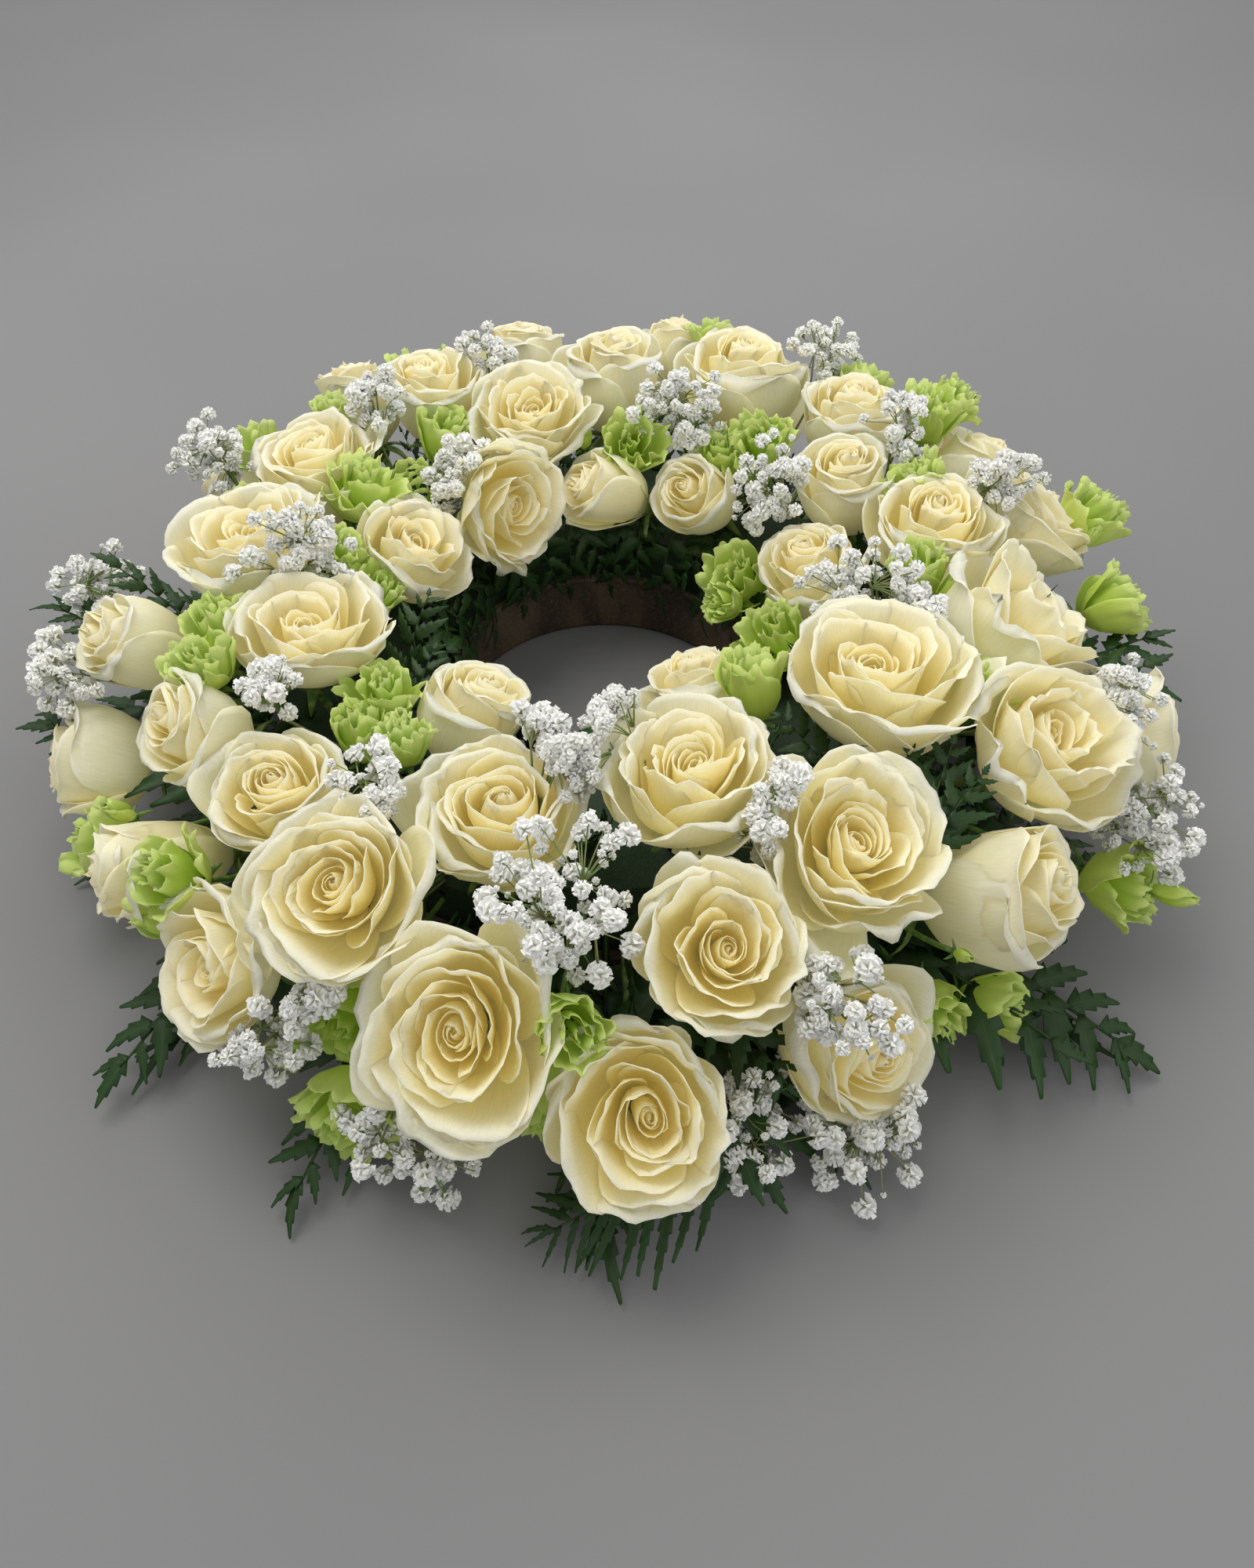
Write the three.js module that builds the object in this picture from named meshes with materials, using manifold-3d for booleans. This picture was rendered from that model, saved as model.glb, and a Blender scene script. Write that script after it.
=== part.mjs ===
// A round memorial wreath that lies flat: a moulded wood-fibre tray holds a ring of floral foam, a collar of
// leatherleaf fern hides the tray inside and out, and the stems of cream roses, green lisianthus and
// gypsophila are pushed into the foam, so that their heads stand shoulder to shoulder in a dome.
// Millimetres, +Z up. The origin is on the surface that the tray stands on, at the middle of the ring.
// Clock angles are degrees counter-clockwise from +X, seen from above. -Y is the front.

import * as THREE from "three";
import { mergeVertices } from "three/addons/utils/BufferGeometryUtils.js";
import Module from "manifold-3d";

// ---- Driving dimensions ----

const CORE_RADIUS = 150; // from the middle of the ring to the middle of the foam
const CORE_HEIGHT = 48;
const HALF_WIDTH = 55; // of the tray, across the ring
const TRAY = { wall: 3, innerHeight: 46, outerHeight: 30, lip: 3, segments: 44 };
const FOAM = { top: 78, shoulder: 60, clearance: 0.4, segments: 44 };
const DOME = { radius: 197, height: 54, halfWidth: 112, rise: 86 }; // the section that the heads stand on
const FLOOR_GAP = 16; // between the lowest heads and the table, where the fern lies
const REACH = 372; // from the middle to the tips of the longest fronds
const STEM = { rose: 2.6, spray: 2, twig: 1.1, knot: 2.4, depth: 24, holeGap: 0.35 };
const LEAF_THICKNESS = 1.6;
const SLIVER = 0.02;
const PETAL_SEGMENTS = 10;
const SETTLE = { rounds: 200, gap: 0.5, pull: 0.05 };
const FULLNESS = { rose: 1.03, spray: 1, cloud: 1 }; // of a head's ball, over the width that shows
const FOAM_ROOM = { rose: 6, spray: 16, cloud: 8 }; // between a head and the foam that it stands in

const COLOUR = {
  fibre: { color: 0x5e4332, roughness: 0.92, metalness: 0 },
  foam: { color: 0x2c5a2e, roughness: 0.95, metalness: 0 },
  fern: { color: 0x1f4a22, roughness: 0.5, metalness: 0 },
  rose: { color: 0xf3ebcd, roughness: 0.6, metalness: 0 },
  lisianthus: { color: 0xa9cc55, roughness: 0.6, metalness: 0 },
  gypsophila: { color: 0xf2f3ef, roughness: 0.75, metalness: 0 },
};

// ---- The planting plan ----
// Each rose: [clock, lane, width of the head, bloom, face]. The lane is the angle round the dome's section:
// 0 looks straight out, 90 is the crown and 150 hangs over the hole. The face is [clock, elevation] of the
// way that the flower looks, where that isn't the usual one for its lane.

const ROSES = [
  // crown, from the right-hand end round the back
  [6, 90, 74, "open"],
  [28, 102, 72, "half"],
  [43, 76, 74, "open"],
  [62, 76, 88, "open"],
  [88, 82, 90, "half"],
  [124, 81, 74, "open"],
  [153, 85, 84, "open"],
  [184, 82, 80, "full"],
  [209, 100, 74, "full"],
  [229, 66, 70, "open"],
  [257, 77, 78, "open"],
  [282, 86, 80, "full"],
  [320, 91, 92, "full"],
  [346, 69, 88, "open", [12, 52]],
  // inner lane, over the hole
  [6, 132, 66, "open"],
  [58, 145, 64, "half", [222, 42]],
  [101, 149, 62, "half", [196, 34]],
  [110, 115, 70, "full"],
  [133, 158, 72, "full", [318, 26]],
  [169, 134, 68, "full"],
  [239, 122, 68, "half", [40, 66]],
  [300, 143, 64, "open"],
  // shoulder, outside the crown
  [14, 48, 78, "open", [12, 48]],
  [27, 42, 76, "half"],
  [80, 54, 72, "half"],
  [103, 56, 70, "half"],
  [129, 48, 74, "half"],
  [192, 50, 72, "half", [192, 36]],
  [215, 56, 66, "half", [214, 48]],
  [246, 50, 72, "full"],
  [279, 50, 76, "full"],
  [298, 60, 80, "full"],
  [314, 47, 80, "half", [338, 34]],
  [319, 50, 72, "full"],
  // flank, looking out
  [199, 11, 68, "half", [194, 14]],
  [219, 25, 70, "half", [204, 14]],
  [236, 24, 68, "full", [222, 34]],
  [256, 25, 82, "full", [262, 52]],
  [273, 12, 76, "full", [270, 52]],
  [292, 15, 76, "half", [306, 30]],
  [343, 16, 82, "half", [352, 10]],
  [66, 12, 78, "half"],
  [105, 12, 80, "open"],
  [146, 12, 78, "half"],
];

// Each spray of lisianthus: its heads as [clock, lane, width, how far it stands out past the dome].
const LISIANTHUS = [
  [[245, 2, 42, 4], [247, -16, 40, 14], [240, -8, 26, 2]],
  [[264, -8, 38, 0], [269, -20, 26, 6]],
  [[301, 2, 34, 4], [309, -8, 36, 6]],
  [[327, 0, 40, 14], [327, 4, 24, 44]],
  [[34, 56, 40, 12]],
  [[20, 156, 38, 0], [11, 160, 24, 4]],
  [[141, 112, 40, 0], [149, 118, 22, 0]],
  [[228, 88, 36, 4], [237, 96, 26, 4], [222, 108, 30, 2]],
];

// Each cloud of gypsophila: [clock, lane, width, number of blooms].
const GYPSOPHILA = [
  [267, 66, 58, 12],
  [289, 30, 44, 8],
  [256, -14, 46, 8],
  [284, -18, 48, 8],
];

// Fronds of the outer collar: [clock, reach, half angle, height of the tip]. The four at the quarters reach
// as far as REACH.
const FRONDS = [
  [0, REACH, 9, 8], [24, 344, 8, 10], [45, 350, 9, 6], [69, 338, 8, 8],
  [90, REACH, 9, 8], [111, 342, 8, 6], [135, 350, 9, 9], [159, 340, 8, 7],
  [180, REACH, 9, 10], [204, 336, 8, 8], [228, 360, 9, 13], [249, 346, 9, 12],
  [270, REACH, 11, 12], [291, 344, 9, 12], [315, 362, 10, 13], [336, 342, 8, 9],
];

// ---- Solids ----

const wasm = await Module();
wasm.setup();

const radians = THREE.MathUtils.degToRad;

/** A point at a clock angle, a distance from the middle and a height. */
function polar(clock, radius, height) {
  return new THREE.Vector3(
    radius * Math.cos(radians(clock)),
    radius * Math.sin(radians(clock)),
    height,
  );
}

/** Joins rings of the same number of points into one closed skin, with a fan at each end. */
function loft(rings) {
  const count = rings[0].length;
  const middle = (ring) => ring.reduce((a, p) => a.add(p), new THREE.Vector3()).divideScalar(count);
  const points = [...rings.flat(), middle(rings[0]), middle(rings[rings.length - 1])];
  const faces = [];
  for (let i = 0; i + 1 < rings.length; i++)
    for (let k = 0; k < count; k++) {
      const a = i * count + k;
      const b = i * count + ((k + 1) % count);
      faces.push(a, b, b + count, a, b + count, a + count);
    }
  const last = (rings.length - 1) * count;
  for (let k = 0; k < count; k++) {
    const next = (k + 1) % count;
    faces.push(points.length - 2, next, k);
    faces.push(points.length - 1, last + k, last + next);
  }
  return skin(points, faces);
}

/** A geometry from points and the corners of its triangles. */
function skin(points, faces) {
  return new THREE.BufferGeometry().setFromPoints(points).setIndex(faces);
}

/** A ring of points round an axis, with lobes like the edges of petals. */
function ringAt(centre, axis, across, radius, count, lobes = 0, phase = 0) {
  const up = new THREE.Vector3().crossVectors(axis, across);
  return Array.from({ length: count }, (_, k) => {
    const turn = (2 * Math.PI * k) / count;
    const r = radius * (1 + lobes * Math.cos((count / 2) * turn + phase));
    return centre
      .clone()
      .addScaledVector(across, r * Math.cos(turn))
      .addScaledVector(up, r * Math.sin(turn));
  });
}

/** A unit vector square to an axis, as level as it can be. */
function squareTo(axis) {
  const level = new THREE.Vector3(0, 0, 1).cross(axis);
  return level.lengthSq() > 1e-6 ? level.normalize() : new THREE.Vector3(1, 0, 0);
}

/** A straight round stem between two points. */
function rod(from, to, radius, sides = 6) {
  const axis = to.clone().sub(from).normalize();
  const across = squareTo(axis);
  return loft([from, to].map((p) => ringAt(p, axis, across, radius, sides)));
}

/** A geometry as a manifold-3d solid. */
function solid(geometry) {
  const bare = new THREE.BufferGeometry()
    .setAttribute("position", geometry.getAttribute("position"))
    .setIndex(geometry.index);
  const merged = mergeVertices(bare, 1e-4);
  return new wasm.Manifold(
    new wasm.Mesh({
      numProp: 3,
      vertProperties: merged.attributes.position.array,
      triVerts: new Uint32Array(merged.index.array),
    }),
  );
}

/** A manifold-3d solid as a geometry, without the slivers that its joins leave. */
function geometryOf(made) {
  const mesh = made.simplify(SLIVER).getMesh();
  return new THREE.BufferGeometry()
    .setAttribute("position", new THREE.BufferAttribute(mesh.vertProperties, 3))
    .setIndex(new THREE.BufferAttribute(mesh.triVerts, 1));
}

/** Several geometries that touch, as one solid. */
function joined(geometries) {
  return geometryOf(geometries.map(solid).reduce((a, b) => a.add(b)));
}

const wreath = new THREE.Group();
wreath.name = "memorial_wreath";

/** Adds one named piece to the wreath. */
function add(name, geometry, finish) {
  const shaded = geometry.toNonIndexed();
  shaded.computeVertexNormals();
  const mesh = new THREE.Mesh(shaded, new THREE.MeshStandardMaterial(finish));
  mesh.name = name;
  wreath.add(mesh);
}

// ---- Where each head stands ----

/** A head as a ball on the dome: its middle, its radius, its room and the way that it looks. */
function headAt(clock, lane, width, room, standOut = 0, face = null) {
  const radius = DOME.radius + (DOME.halfWidth + standOut) * Math.cos(radians(lane));
  const height = DOME.height + (DOME.rise + standOut) * Math.sin(radians(lane));
  const home = polar(clock, radius, height);
  const outwards = polar(clock, Math.cos(radians(lane)), Math.sin(radians(lane)));
  const looks = face
    ? polar(face[0], Math.cos(radians(face[1])), Math.sin(radians(face[1])))
    : outwards.add(new THREE.Vector3(0, 0, 0.55)).normalize();
  return { home, middle: home.clone(), radius: width / 2, room, looks };
}

/** The middle of the foam beside a point. */
function coreBeside(point) {
  return new THREE.Vector3(point.x, point.y, 0)
    .setLength(CORE_RADIUS)
    .setZ(CORE_HEIGHT);
}

/** Moves a head out of the foam and the tray, which are a rectangle in section. */
function keepClear({ middle, radius, room }) {
  const core = coreBeside(middle).setZ(0);
  const outwards = core.clone().normalize();
  const across = middle.dot(outwards) - CORE_RADIUS;
  const nearest = core
    .addScaledVector(outwards, THREE.MathUtils.clamp(across, -HALF_WIDTH, HALF_WIDTH))
    .setZ(THREE.MathUtils.clamp(middle.z, 0, FOAM.top));
  const away = middle.clone().sub(nearest);
  if (away.length() < radius + room) middle.copy(nearest).add(away.setLength(radius + room));
  middle.z = Math.max(middle.z, radius + FLOOR_GAP);
}

/** Pushes heads that overlap apart, as a florist's fingers do, and keeps them off the table and the foam. */
function settle(heads) {
  const push = new THREE.Vector3();
  for (let round = 0; round < SETTLE.rounds; round++) {
    heads.forEach((a, i) => {
      for (const b of heads.slice(i + 1)) {
        push.subVectors(b.middle, a.middle);
        const needed = a.radius + b.radius + SETTLE.gap - push.length();
        if (needed <= 0) continue;
        const share = b.radius / (a.radius + b.radius);
        push.setLength(needed);
        a.middle.addScaledVector(push, -share);
        b.middle.addScaledVector(push, 1 - share);
      }
      keepClear(a);
      const home = round < SETTLE.rounds / 2 ? SETTLE.pull : 0;
      a.middle.lerp(a.home, home);
    });
  }
}

const roseHeads = ROSES.map(([clock, lane, width, bloom, face]) => ({
  ...headAt(clock, lane, width * FULLNESS.rose, FOAM_ROOM.rose, 0, face),
  bloom,
}));
const sprayHeads = LISIANTHUS.map((spray) =>
  spray.map(([clock, lane, width, standOut]) =>
    headAt(clock, lane, width * FULLNESS.spray, FOAM_ROOM.spray, standOut),
  ),
);
const cloudHeads = GYPSOPHILA.map(([clock, lane, width, blooms]) => ({
  ...headAt(clock, lane, width * FULLNESS.cloud, FOAM_ROOM.cloud, 6),
  blooms,
}));
settle([...roseHeads, ...sprayHeads.flat(), ...cloudHeads]);

// ---- Flowers ----
// A profile lists rings from the calyx up over the rim and down into the heart: [radius, height, lobes],
// as shares of the radius of the ball that the head fills.

const ROSE_PROFILES = {
  full: [
    [0.15, -0.95, 0], [0.72, -0.66, 0], [0.99, -0.08, 0], [0.97, 0.2, -0.03],
    [0.74, 0.14, 0], [0.68, 0.42, 0.09], [0.46, 0.3, 0], [0.36, 0.56, -0.1], [0.12, 0.44, 0],
  ],
  open: [
    [0.15, -0.95, 0], [0.7, -0.68, 0], [0.98, -0.1, 0], [0.95, 0.26, -0.03],
    [0.72, 0.24, 0], [0.62, 0.56, 0.09], [0.42, 0.46, 0], [0.32, 0.74, -0.1], [0.12, 0.64, 0],
  ],
  half: [
    [0.15, -0.95, 0], [0.68, -0.7, 0], [0.96, -0.14, 0], [0.91, 0.36, -0.04],
    [0.66, 0.36, 0], [0.56, 0.7, 0.09], [0.4, 0.6, 0], [0.28, 0.88, -0.1], [0.1, 0.8, 0],
  ],
};
const LISIANTHUS_PROFILE = [
  [0.2, -0.95, 0], [0.6, -0.7, 0], [0.82, -0.05, 0], [0.88, 0.34, 0.08],
  [0.58, 0.24, 0], [0.5, 0.72, -0.12], [0.2, 0.5, 0],
];
const LISIANTHUS_SEGMENTS = 8;

/** The rings of a flower head from its profile. */
function headRings(head, profile, count) {
  const across = squareTo(head.looks);
  return profile.map(([radius, height, lobes]) =>
    ringAt(
      head.middle.clone().addScaledVector(head.looks, height * head.radius),
      head.looks, across, radius * head.radius, count, lobes,
    ),
  );
}

/** The lowest point of a head, where its stem begins. */
function calyxOf(head) {
  return head.middle.clone().addScaledVector(head.looks, -0.95 * head.radius);
}

/** The end of a stem that comes from a point and is pushed into the foam. */
function footFrom(point) {
  const core = coreBeside(point);
  return core.add(point.clone().sub(core).setLength(STEM.depth));
}

const holes = [];

/** Notes the hole that a stem of some radius makes in the foam. */
function pierce(foot, from, radius) {
  const inward = foot.clone().sub(from).setLength(STEM.holeGap + 0.2);
  const hexagon = (radius + STEM.holeGap) / Math.cos(Math.PI / 6);
  holes.push(rod(from, foot.clone().add(inward), hexagon));
}

/** One rose: its head and its stem in a single skin. */
function rose(head) {
  const neck = calyxOf(head).addScaledVector(head.looks, -3);
  const foot = footFrom(neck);
  pierce(foot, neck, STEM.rose);
  const along = neck.clone().sub(foot).normalize();
  const across = squareTo(head.looks);
  const stem = [
    ringAt(foot, along, across.clone().addScaledVector(along, -across.dot(along)).normalize(),
      STEM.rose, PETAL_SEGMENTS),
    ringAt(neck, head.looks, across, STEM.rose, PETAL_SEGMENTS),
  ];
  return loft([...stem, ...headRings(head, ROSE_PROFILES[head.bloom], PETAL_SEGMENTS)]);
}

/** One spray of lisianthus: a stem that forks below its heads. */
function spray(heads) {
  const calyxes = heads.map(calyxOf);
  const foot = footFrom(calyxes[0]);
  const fork = calyxes[0].clone().add(foot.clone().sub(calyxes[0]).setLength(10));
  pierce(foot, fork, STEM.spray);
  const branches = calyxes.map((calyx, i) =>
    rod(fork, calyx.addScaledVector(heads[i].looks, 2), STEM.spray),
  );
  const bells = heads.map((head) => loft(headRings(head, LISIANTHUS_PROFILE, LISIANTHUS_SEGMENTS)));
  return joined([rod(foot, fork, STEM.spray), ...branches, ...bells]);
}

/** One cloud of gypsophila: twigs that fan out from a fork to blooms inside the ball that the cloud fills. */
function cloud(head) {
  const fork = head.middle.clone().addScaledVector(head.looks, -0.9 * head.radius);
  const foot = footFrom(fork);
  pierce(foot, fork, STEM.twig);
  const pieces = [rod(foot, fork, STEM.twig), ball(fork, STEM.knot)];
  const across = squareTo(head.looks);
  const up = new THREE.Vector3().crossVectors(head.looks, across);
  const bloomRadius = head.radius * 0.24;
  for (let k = 0; k < head.blooms; k++) {
    const share = (k + 0.5) / head.blooms;
    const turn = k * Math.PI * (3 - Math.sqrt(5)); // the golden angle
    const spread = (head.radius - bloomRadius) * Math.sqrt(share);
    const rise = Math.sqrt((head.radius - bloomRadius) ** 2 - spread ** 2) * (k % 2 ? 0.9 : 0.35);
    const middle = head.middle
      .clone()
      .addScaledVector(across, spread * Math.cos(turn))
      .addScaledVector(up, spread * Math.sin(turn))
      .addScaledVector(head.looks, rise);
    pieces.push(rod(fork, middle, STEM.twig, 3));
    pieces.push(ball(middle, bloomRadius));
  }
  return joined(pieces);
}

/** A ball of twenty faces. */
function ball(middle, radius) {
  return indexed(new THREE.IcosahedronGeometry(radius, 0)).translate(...middle);
}

/** A three.js geometry with only its shared positions left. */
function indexed(geometry) {
  geometry.deleteAttribute("normal");
  geometry.deleteAttribute("uv");
  return mergeVertices(geometry, 1e-3);
}

// ---- Tray and foam ----

/** A profile of [radius, height] points that closes on itself, turned about Z. */
function turned(profile, segments) {
  const closed = [...profile, profile[0]].map(([r, z]) => new THREE.Vector2(r, z));
  return indexed(new THREE.LatheGeometry(closed, segments)).rotateX(Math.PI / 2);
}

/** The tray: a flat-bottomed trough with a rolled lip on each wall. */
function tray() {
  const inner = CORE_RADIUS - HALF_WIDTH;
  const outer = CORE_RADIUS + HALF_WIDTH;
  const { wall, innerHeight, outerHeight, lip, segments } = TRAY;
  return turned(
    [
      [inner, 0], [outer, 0],
      [outer + lip, outerHeight], [outer - wall, outerHeight], [outer - wall, wall],
      [inner + wall, wall], [inner + wall, innerHeight], [inner - lip, innerHeight],
    ],
    segments,
  );
}

/** The ring of floral foam, with a hole for each stem. */
function foam() {
  const gap = TRAY.wall + FOAM.clearance;
  const inner = CORE_RADIUS - HALF_WIDTH + gap;
  const outer = CORE_RADIUS + HALF_WIDTH - gap;
  const chamfer = FOAM.top - FOAM.shoulder;
  const ring = turned(
    [
      [inner, gap], [outer, gap], [outer, FOAM.shoulder], [outer - chamfer * 0.4, FOAM.top - chamfer * 0.4],
      [outer - chamfer * 1.6, FOAM.top], [inner + chamfer * 1.6, FOAM.top],
      [inner + chamfer * 0.4, FOAM.top - chamfer * 0.4], [inner, FOAM.shoulder],
    ],
    FOAM.segments,
  );
  return geometryOf(holes.map(solid).reduce((left, hole) => left.subtract(hole), solid(ring)));
}

// ---- Fern collars ----

/** A leafy sheet all round the ring, from rows of [radius, height] for each clock angle. */
function leafySheet(stations, rowsAt) {
  const upper = [];
  const lower = [];
  for (let k = 0; k < stations; k++) {
    const clock = (360 * k) / stations;
    const rows = rowsAt(clock, k);
    rows.forEach(([radius, height], i) => {
      const before = rows[Math.max(i - 1, 0)];
      const after = rows[Math.min(i + 1, rows.length - 1)];
      const across = new THREE.Vector2(before[1] - after[1], after[0] - before[0])
        .setLength(LEAF_THICKNESS / 2);
      upper.push(polar(clock, radius + across.x, height + across.y));
      lower.push(polar(clock, radius - across.x, height - across.y));
    });
  }
  const rows = upper.length / stations;
  const under = upper.length;
  const faces = [];
  const quad = (a, b, c, d) => faces.push(a, b, c, a, c, d);
  for (let k = 0; k < stations; k++) {
    const here = k * rows;
    const there = ((k + 1) % stations) * rows;
    for (let i = 0; i + 1 < rows; i++) {
      quad(here + i, here + i + 1, there + i + 1, there + i);
      quad(under + here + i, under + there + i, under + there + i + 1, under + here + i + 1);
    }
    quad(here, there, under + there, under + here);
    const rim = rows - 1;
    quad(here + rim, under + here + rim, under + there + rim, there + rim);
  }
  return skin([...upper, ...lower], faces);
}

const OUTER_COLLAR = { stations: 120, inner: 209.5, base: 272, height: 6, notch: 14 };

/** The reach and the height of the outer collar's rim at a clock angle: fronds with toothed sides. */
function collarRim(clock, station) {
  let rim = [OUTER_COLLAR.base, OUTER_COLLAR.height];
  for (const [middle, tip, halfAngle, height] of FRONDS) {
    const away = Math.abs(THREE.MathUtils.euclideanModulo(clock - middle + 180, 360) - 180);
    if (away >= halfAngle) continue;
    const share = 1 - away / halfAngle;
    const tooth = station % 2 && away > 0 ? OUTER_COLLAR.notch : 0;
    rim = [
      OUTER_COLLAR.base + (tip - OUTER_COLLAR.base) * share - tooth,
      OUTER_COLLAR.height + (height - OUTER_COLLAR.height) * share,
    ];
  }
  return rim;
}

/** The outer collar: fronds that lie over the tray's lip and out along the table. */
function outerCollar() {
  const { stations, inner } = OUTER_COLLAR;
  return leafySheet(stations, (clock, station) => {
    const [reach, height] = collarRim(clock, station);
    return [
      [inner, TRAY.outerHeight + 4],
      [inner + 22, 17],
      [inner + 48, 8],
      [(inner + 48 + reach) / 2, 7],
      [reach, height],
    ];
  });
}

/** The inner collar: short fronds that hang over the tray's inner wall into the hole. */
function innerCollar() {
  const rim = CORE_RADIUS - HALF_WIDTH;
  return leafySheet(72, (clock, station) => {
    const hang = station % 2 ? 33 : 20 + 4 * Math.sin(radians(5 * clock));
    return [
      [rim - 8, hang],
      [rim - 8, 40],
      [rim - 6, TRAY.innerHeight + 5],
      [rim + 2.2, TRAY.innerHeight + 8],
    ];
  });
}

// ---- The assembly ----

const two = (n) => String(n + 1).padStart(2, "0");
roseHeads.forEach((head, i) => add("rose_" + two(i), rose(head), COLOUR.rose));
sprayHeads.forEach((heads, i) => add("lisianthus_" + two(i), spray(heads), COLOUR.lisianthus));
cloudHeads.forEach((head, i) => add("gypsophila_" + two(i), cloud(head), COLOUR.gypsophila));
add("tray", tray(), COLOUR.fibre);
add("foam_ring", foam(), COLOUR.foam);
add("fern_collar_outer", outerCollar(), COLOUR.fern);
add("fern_collar_inner", innerCollar(), COLOUR.fern);

export default wreath;
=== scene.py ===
"""A round memorial wreath of cream roses, green lisianthus and gypsophila over leatherleaf fern.

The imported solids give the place, the width and the facing of every rose, and the size of the foam ring and of
the tray. The petals, fronds, twigs and finishes are modelled here round them. Lengths are in metres.
"""

import logging
import math
from collections import Counter
from dataclasses import dataclass, field
from enum import Enum

import bpy
import numpy as np
from mathutils import Matrix, Vector


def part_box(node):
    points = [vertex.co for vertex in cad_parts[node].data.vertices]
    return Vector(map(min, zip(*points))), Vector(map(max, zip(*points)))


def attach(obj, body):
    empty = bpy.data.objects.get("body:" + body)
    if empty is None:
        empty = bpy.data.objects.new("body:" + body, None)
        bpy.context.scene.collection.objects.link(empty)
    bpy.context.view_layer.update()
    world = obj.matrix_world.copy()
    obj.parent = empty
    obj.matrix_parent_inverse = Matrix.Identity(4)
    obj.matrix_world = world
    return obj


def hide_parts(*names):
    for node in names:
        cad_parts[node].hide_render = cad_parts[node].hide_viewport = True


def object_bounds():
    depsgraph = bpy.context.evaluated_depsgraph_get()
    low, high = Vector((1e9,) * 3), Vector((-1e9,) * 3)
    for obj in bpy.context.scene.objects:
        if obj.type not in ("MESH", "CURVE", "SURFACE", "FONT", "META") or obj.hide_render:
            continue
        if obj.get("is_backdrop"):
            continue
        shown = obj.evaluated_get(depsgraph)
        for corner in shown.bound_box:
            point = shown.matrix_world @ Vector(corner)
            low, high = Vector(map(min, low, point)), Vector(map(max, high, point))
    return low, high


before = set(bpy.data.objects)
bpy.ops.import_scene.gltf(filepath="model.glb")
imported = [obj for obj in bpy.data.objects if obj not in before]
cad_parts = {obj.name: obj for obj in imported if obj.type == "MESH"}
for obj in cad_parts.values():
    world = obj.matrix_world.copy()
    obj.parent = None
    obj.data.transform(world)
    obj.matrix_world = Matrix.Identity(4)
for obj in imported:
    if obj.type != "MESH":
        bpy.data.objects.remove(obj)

log = logging.getLogger("wreath")
logging.basicConfig(level=logging.INFO, format="%(name)s: %(message)s")

MM = 0.001
GOLDEN_ANGLE = math.pi * (3 - math.sqrt(5))


# ---------------------------------------------------------------------------------------------------------
# Workbench: the few moves that every piece is made with
# ---------------------------------------------------------------------------------------------------------


def deselect_all() -> None:
    """Leaves nothing selected and nothing active."""
    for chosen in list(bpy.context.selected_objects):
        chosen.select_set(False)
    bpy.context.view_layer.objects.active = None


def select_only(*objects: bpy.types.Object) -> None:
    """Selects these objects alone, with the first one active."""
    deselect_all()
    for thing in objects:
        thing.select_set(True)
    bpy.context.view_layer.objects.active = objects[0]


def points_of(thing: bpy.types.Object) -> np.ndarray:
    """The vertices of a mesh object, one row each."""
    flat = np.empty(len(thing.data.vertices) * 3)
    thing.data.vertices.foreach_get("co", flat)
    return flat.reshape(-1, 3)


def move_points(thing: bpy.types.Object, points: np.ndarray) -> None:
    """Puts the vertices of a mesh object at new places."""
    thing.data.vertices.foreach_set("co", np.ascontiguousarray(points, dtype=float).ravel())
    thing.data.update()


def paint(thing: bpy.types.Object, name: str, masks: np.ndarray) -> None:
    """Stores masks on the vertices, for a finish to read.

    Args:
        thing: The mesh object.
        name: The attribute's name.
        masks: One row of three numbers from 0 to 1 for each vertex.
    """
    layer = thing.data.attributes.new(name, "FLOAT_COLOR", "POINT")
    layer.data.foreach_set("color", np.c_[masks, np.ones(len(masks))].astype(np.float32).ravel())


def joined(parts: list[bpy.types.Object], name: str) -> bpy.types.Object:
    """Joins mesh objects into one, under a new name."""
    select_only(*parts)
    if len(parts) > 1:
        bpy.ops.object.join()
    whole = bpy.context.view_layer.objects.active
    whole.name = name
    whole.data.name = name
    return whole


def modify(thing: bpy.types.Object, kind: str, **settings: object) -> None:
    """Adds one modifier to an object and applies it.

    Args:
        thing: The mesh object.
        kind: The modifier's type, such as SOLIDIFY.
        **settings: The modifier's properties.
    """
    select_only(thing)
    modifier = thing.modifiers.new(kind.title(), kind)
    for key, value in settings.items():
        setattr(modifier, key, value)
    bpy.ops.object.modifier_apply(modifier=modifier.name)


def smooth(thing: bpy.types.Object) -> None:
    """Shades an object smooth all over."""
    select_only(thing)
    bpy.ops.object.shade_smooth()


def grid(across: int, along: int) -> tuple[bpy.types.Object, np.ndarray, np.ndarray]:
    """Adds a flat sheet to be shaped.

    Args:
        across: Faces from side to side.
        along: Faces from foot to tip.

    Returns:
        The sheet; u of each vertex, from -1 at one side to 1 at the other; and v, from 0 at the foot to 1 at
        the tip.
    """
    deselect_all()
    bpy.ops.mesh.primitive_grid_add(x_subdivisions=across, y_subdivisions=along, size=2)
    sheet = bpy.context.view_layer.objects.active
    flat = points_of(sheet)
    return sheet, flat[:, 0].copy(), (flat[:, 1] + 1) / 2


def copied(master: bpy.types.Object, name: str, place: Matrix) -> bpy.types.Object:
    """Copies an object with a mesh of its own, and puts the place into that mesh.

    Args:
        master: The object to copy.
        name: The copy's name.
        place: From the master's coordinates to the copy's.
    """
    copy = master.copy()
    copy.data = master.data.copy()
    copy.name = name
    copy.data.name = name
    bpy.context.scene.collection.objects.link(copy)
    copy.data.transform(place)
    return copy


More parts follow.
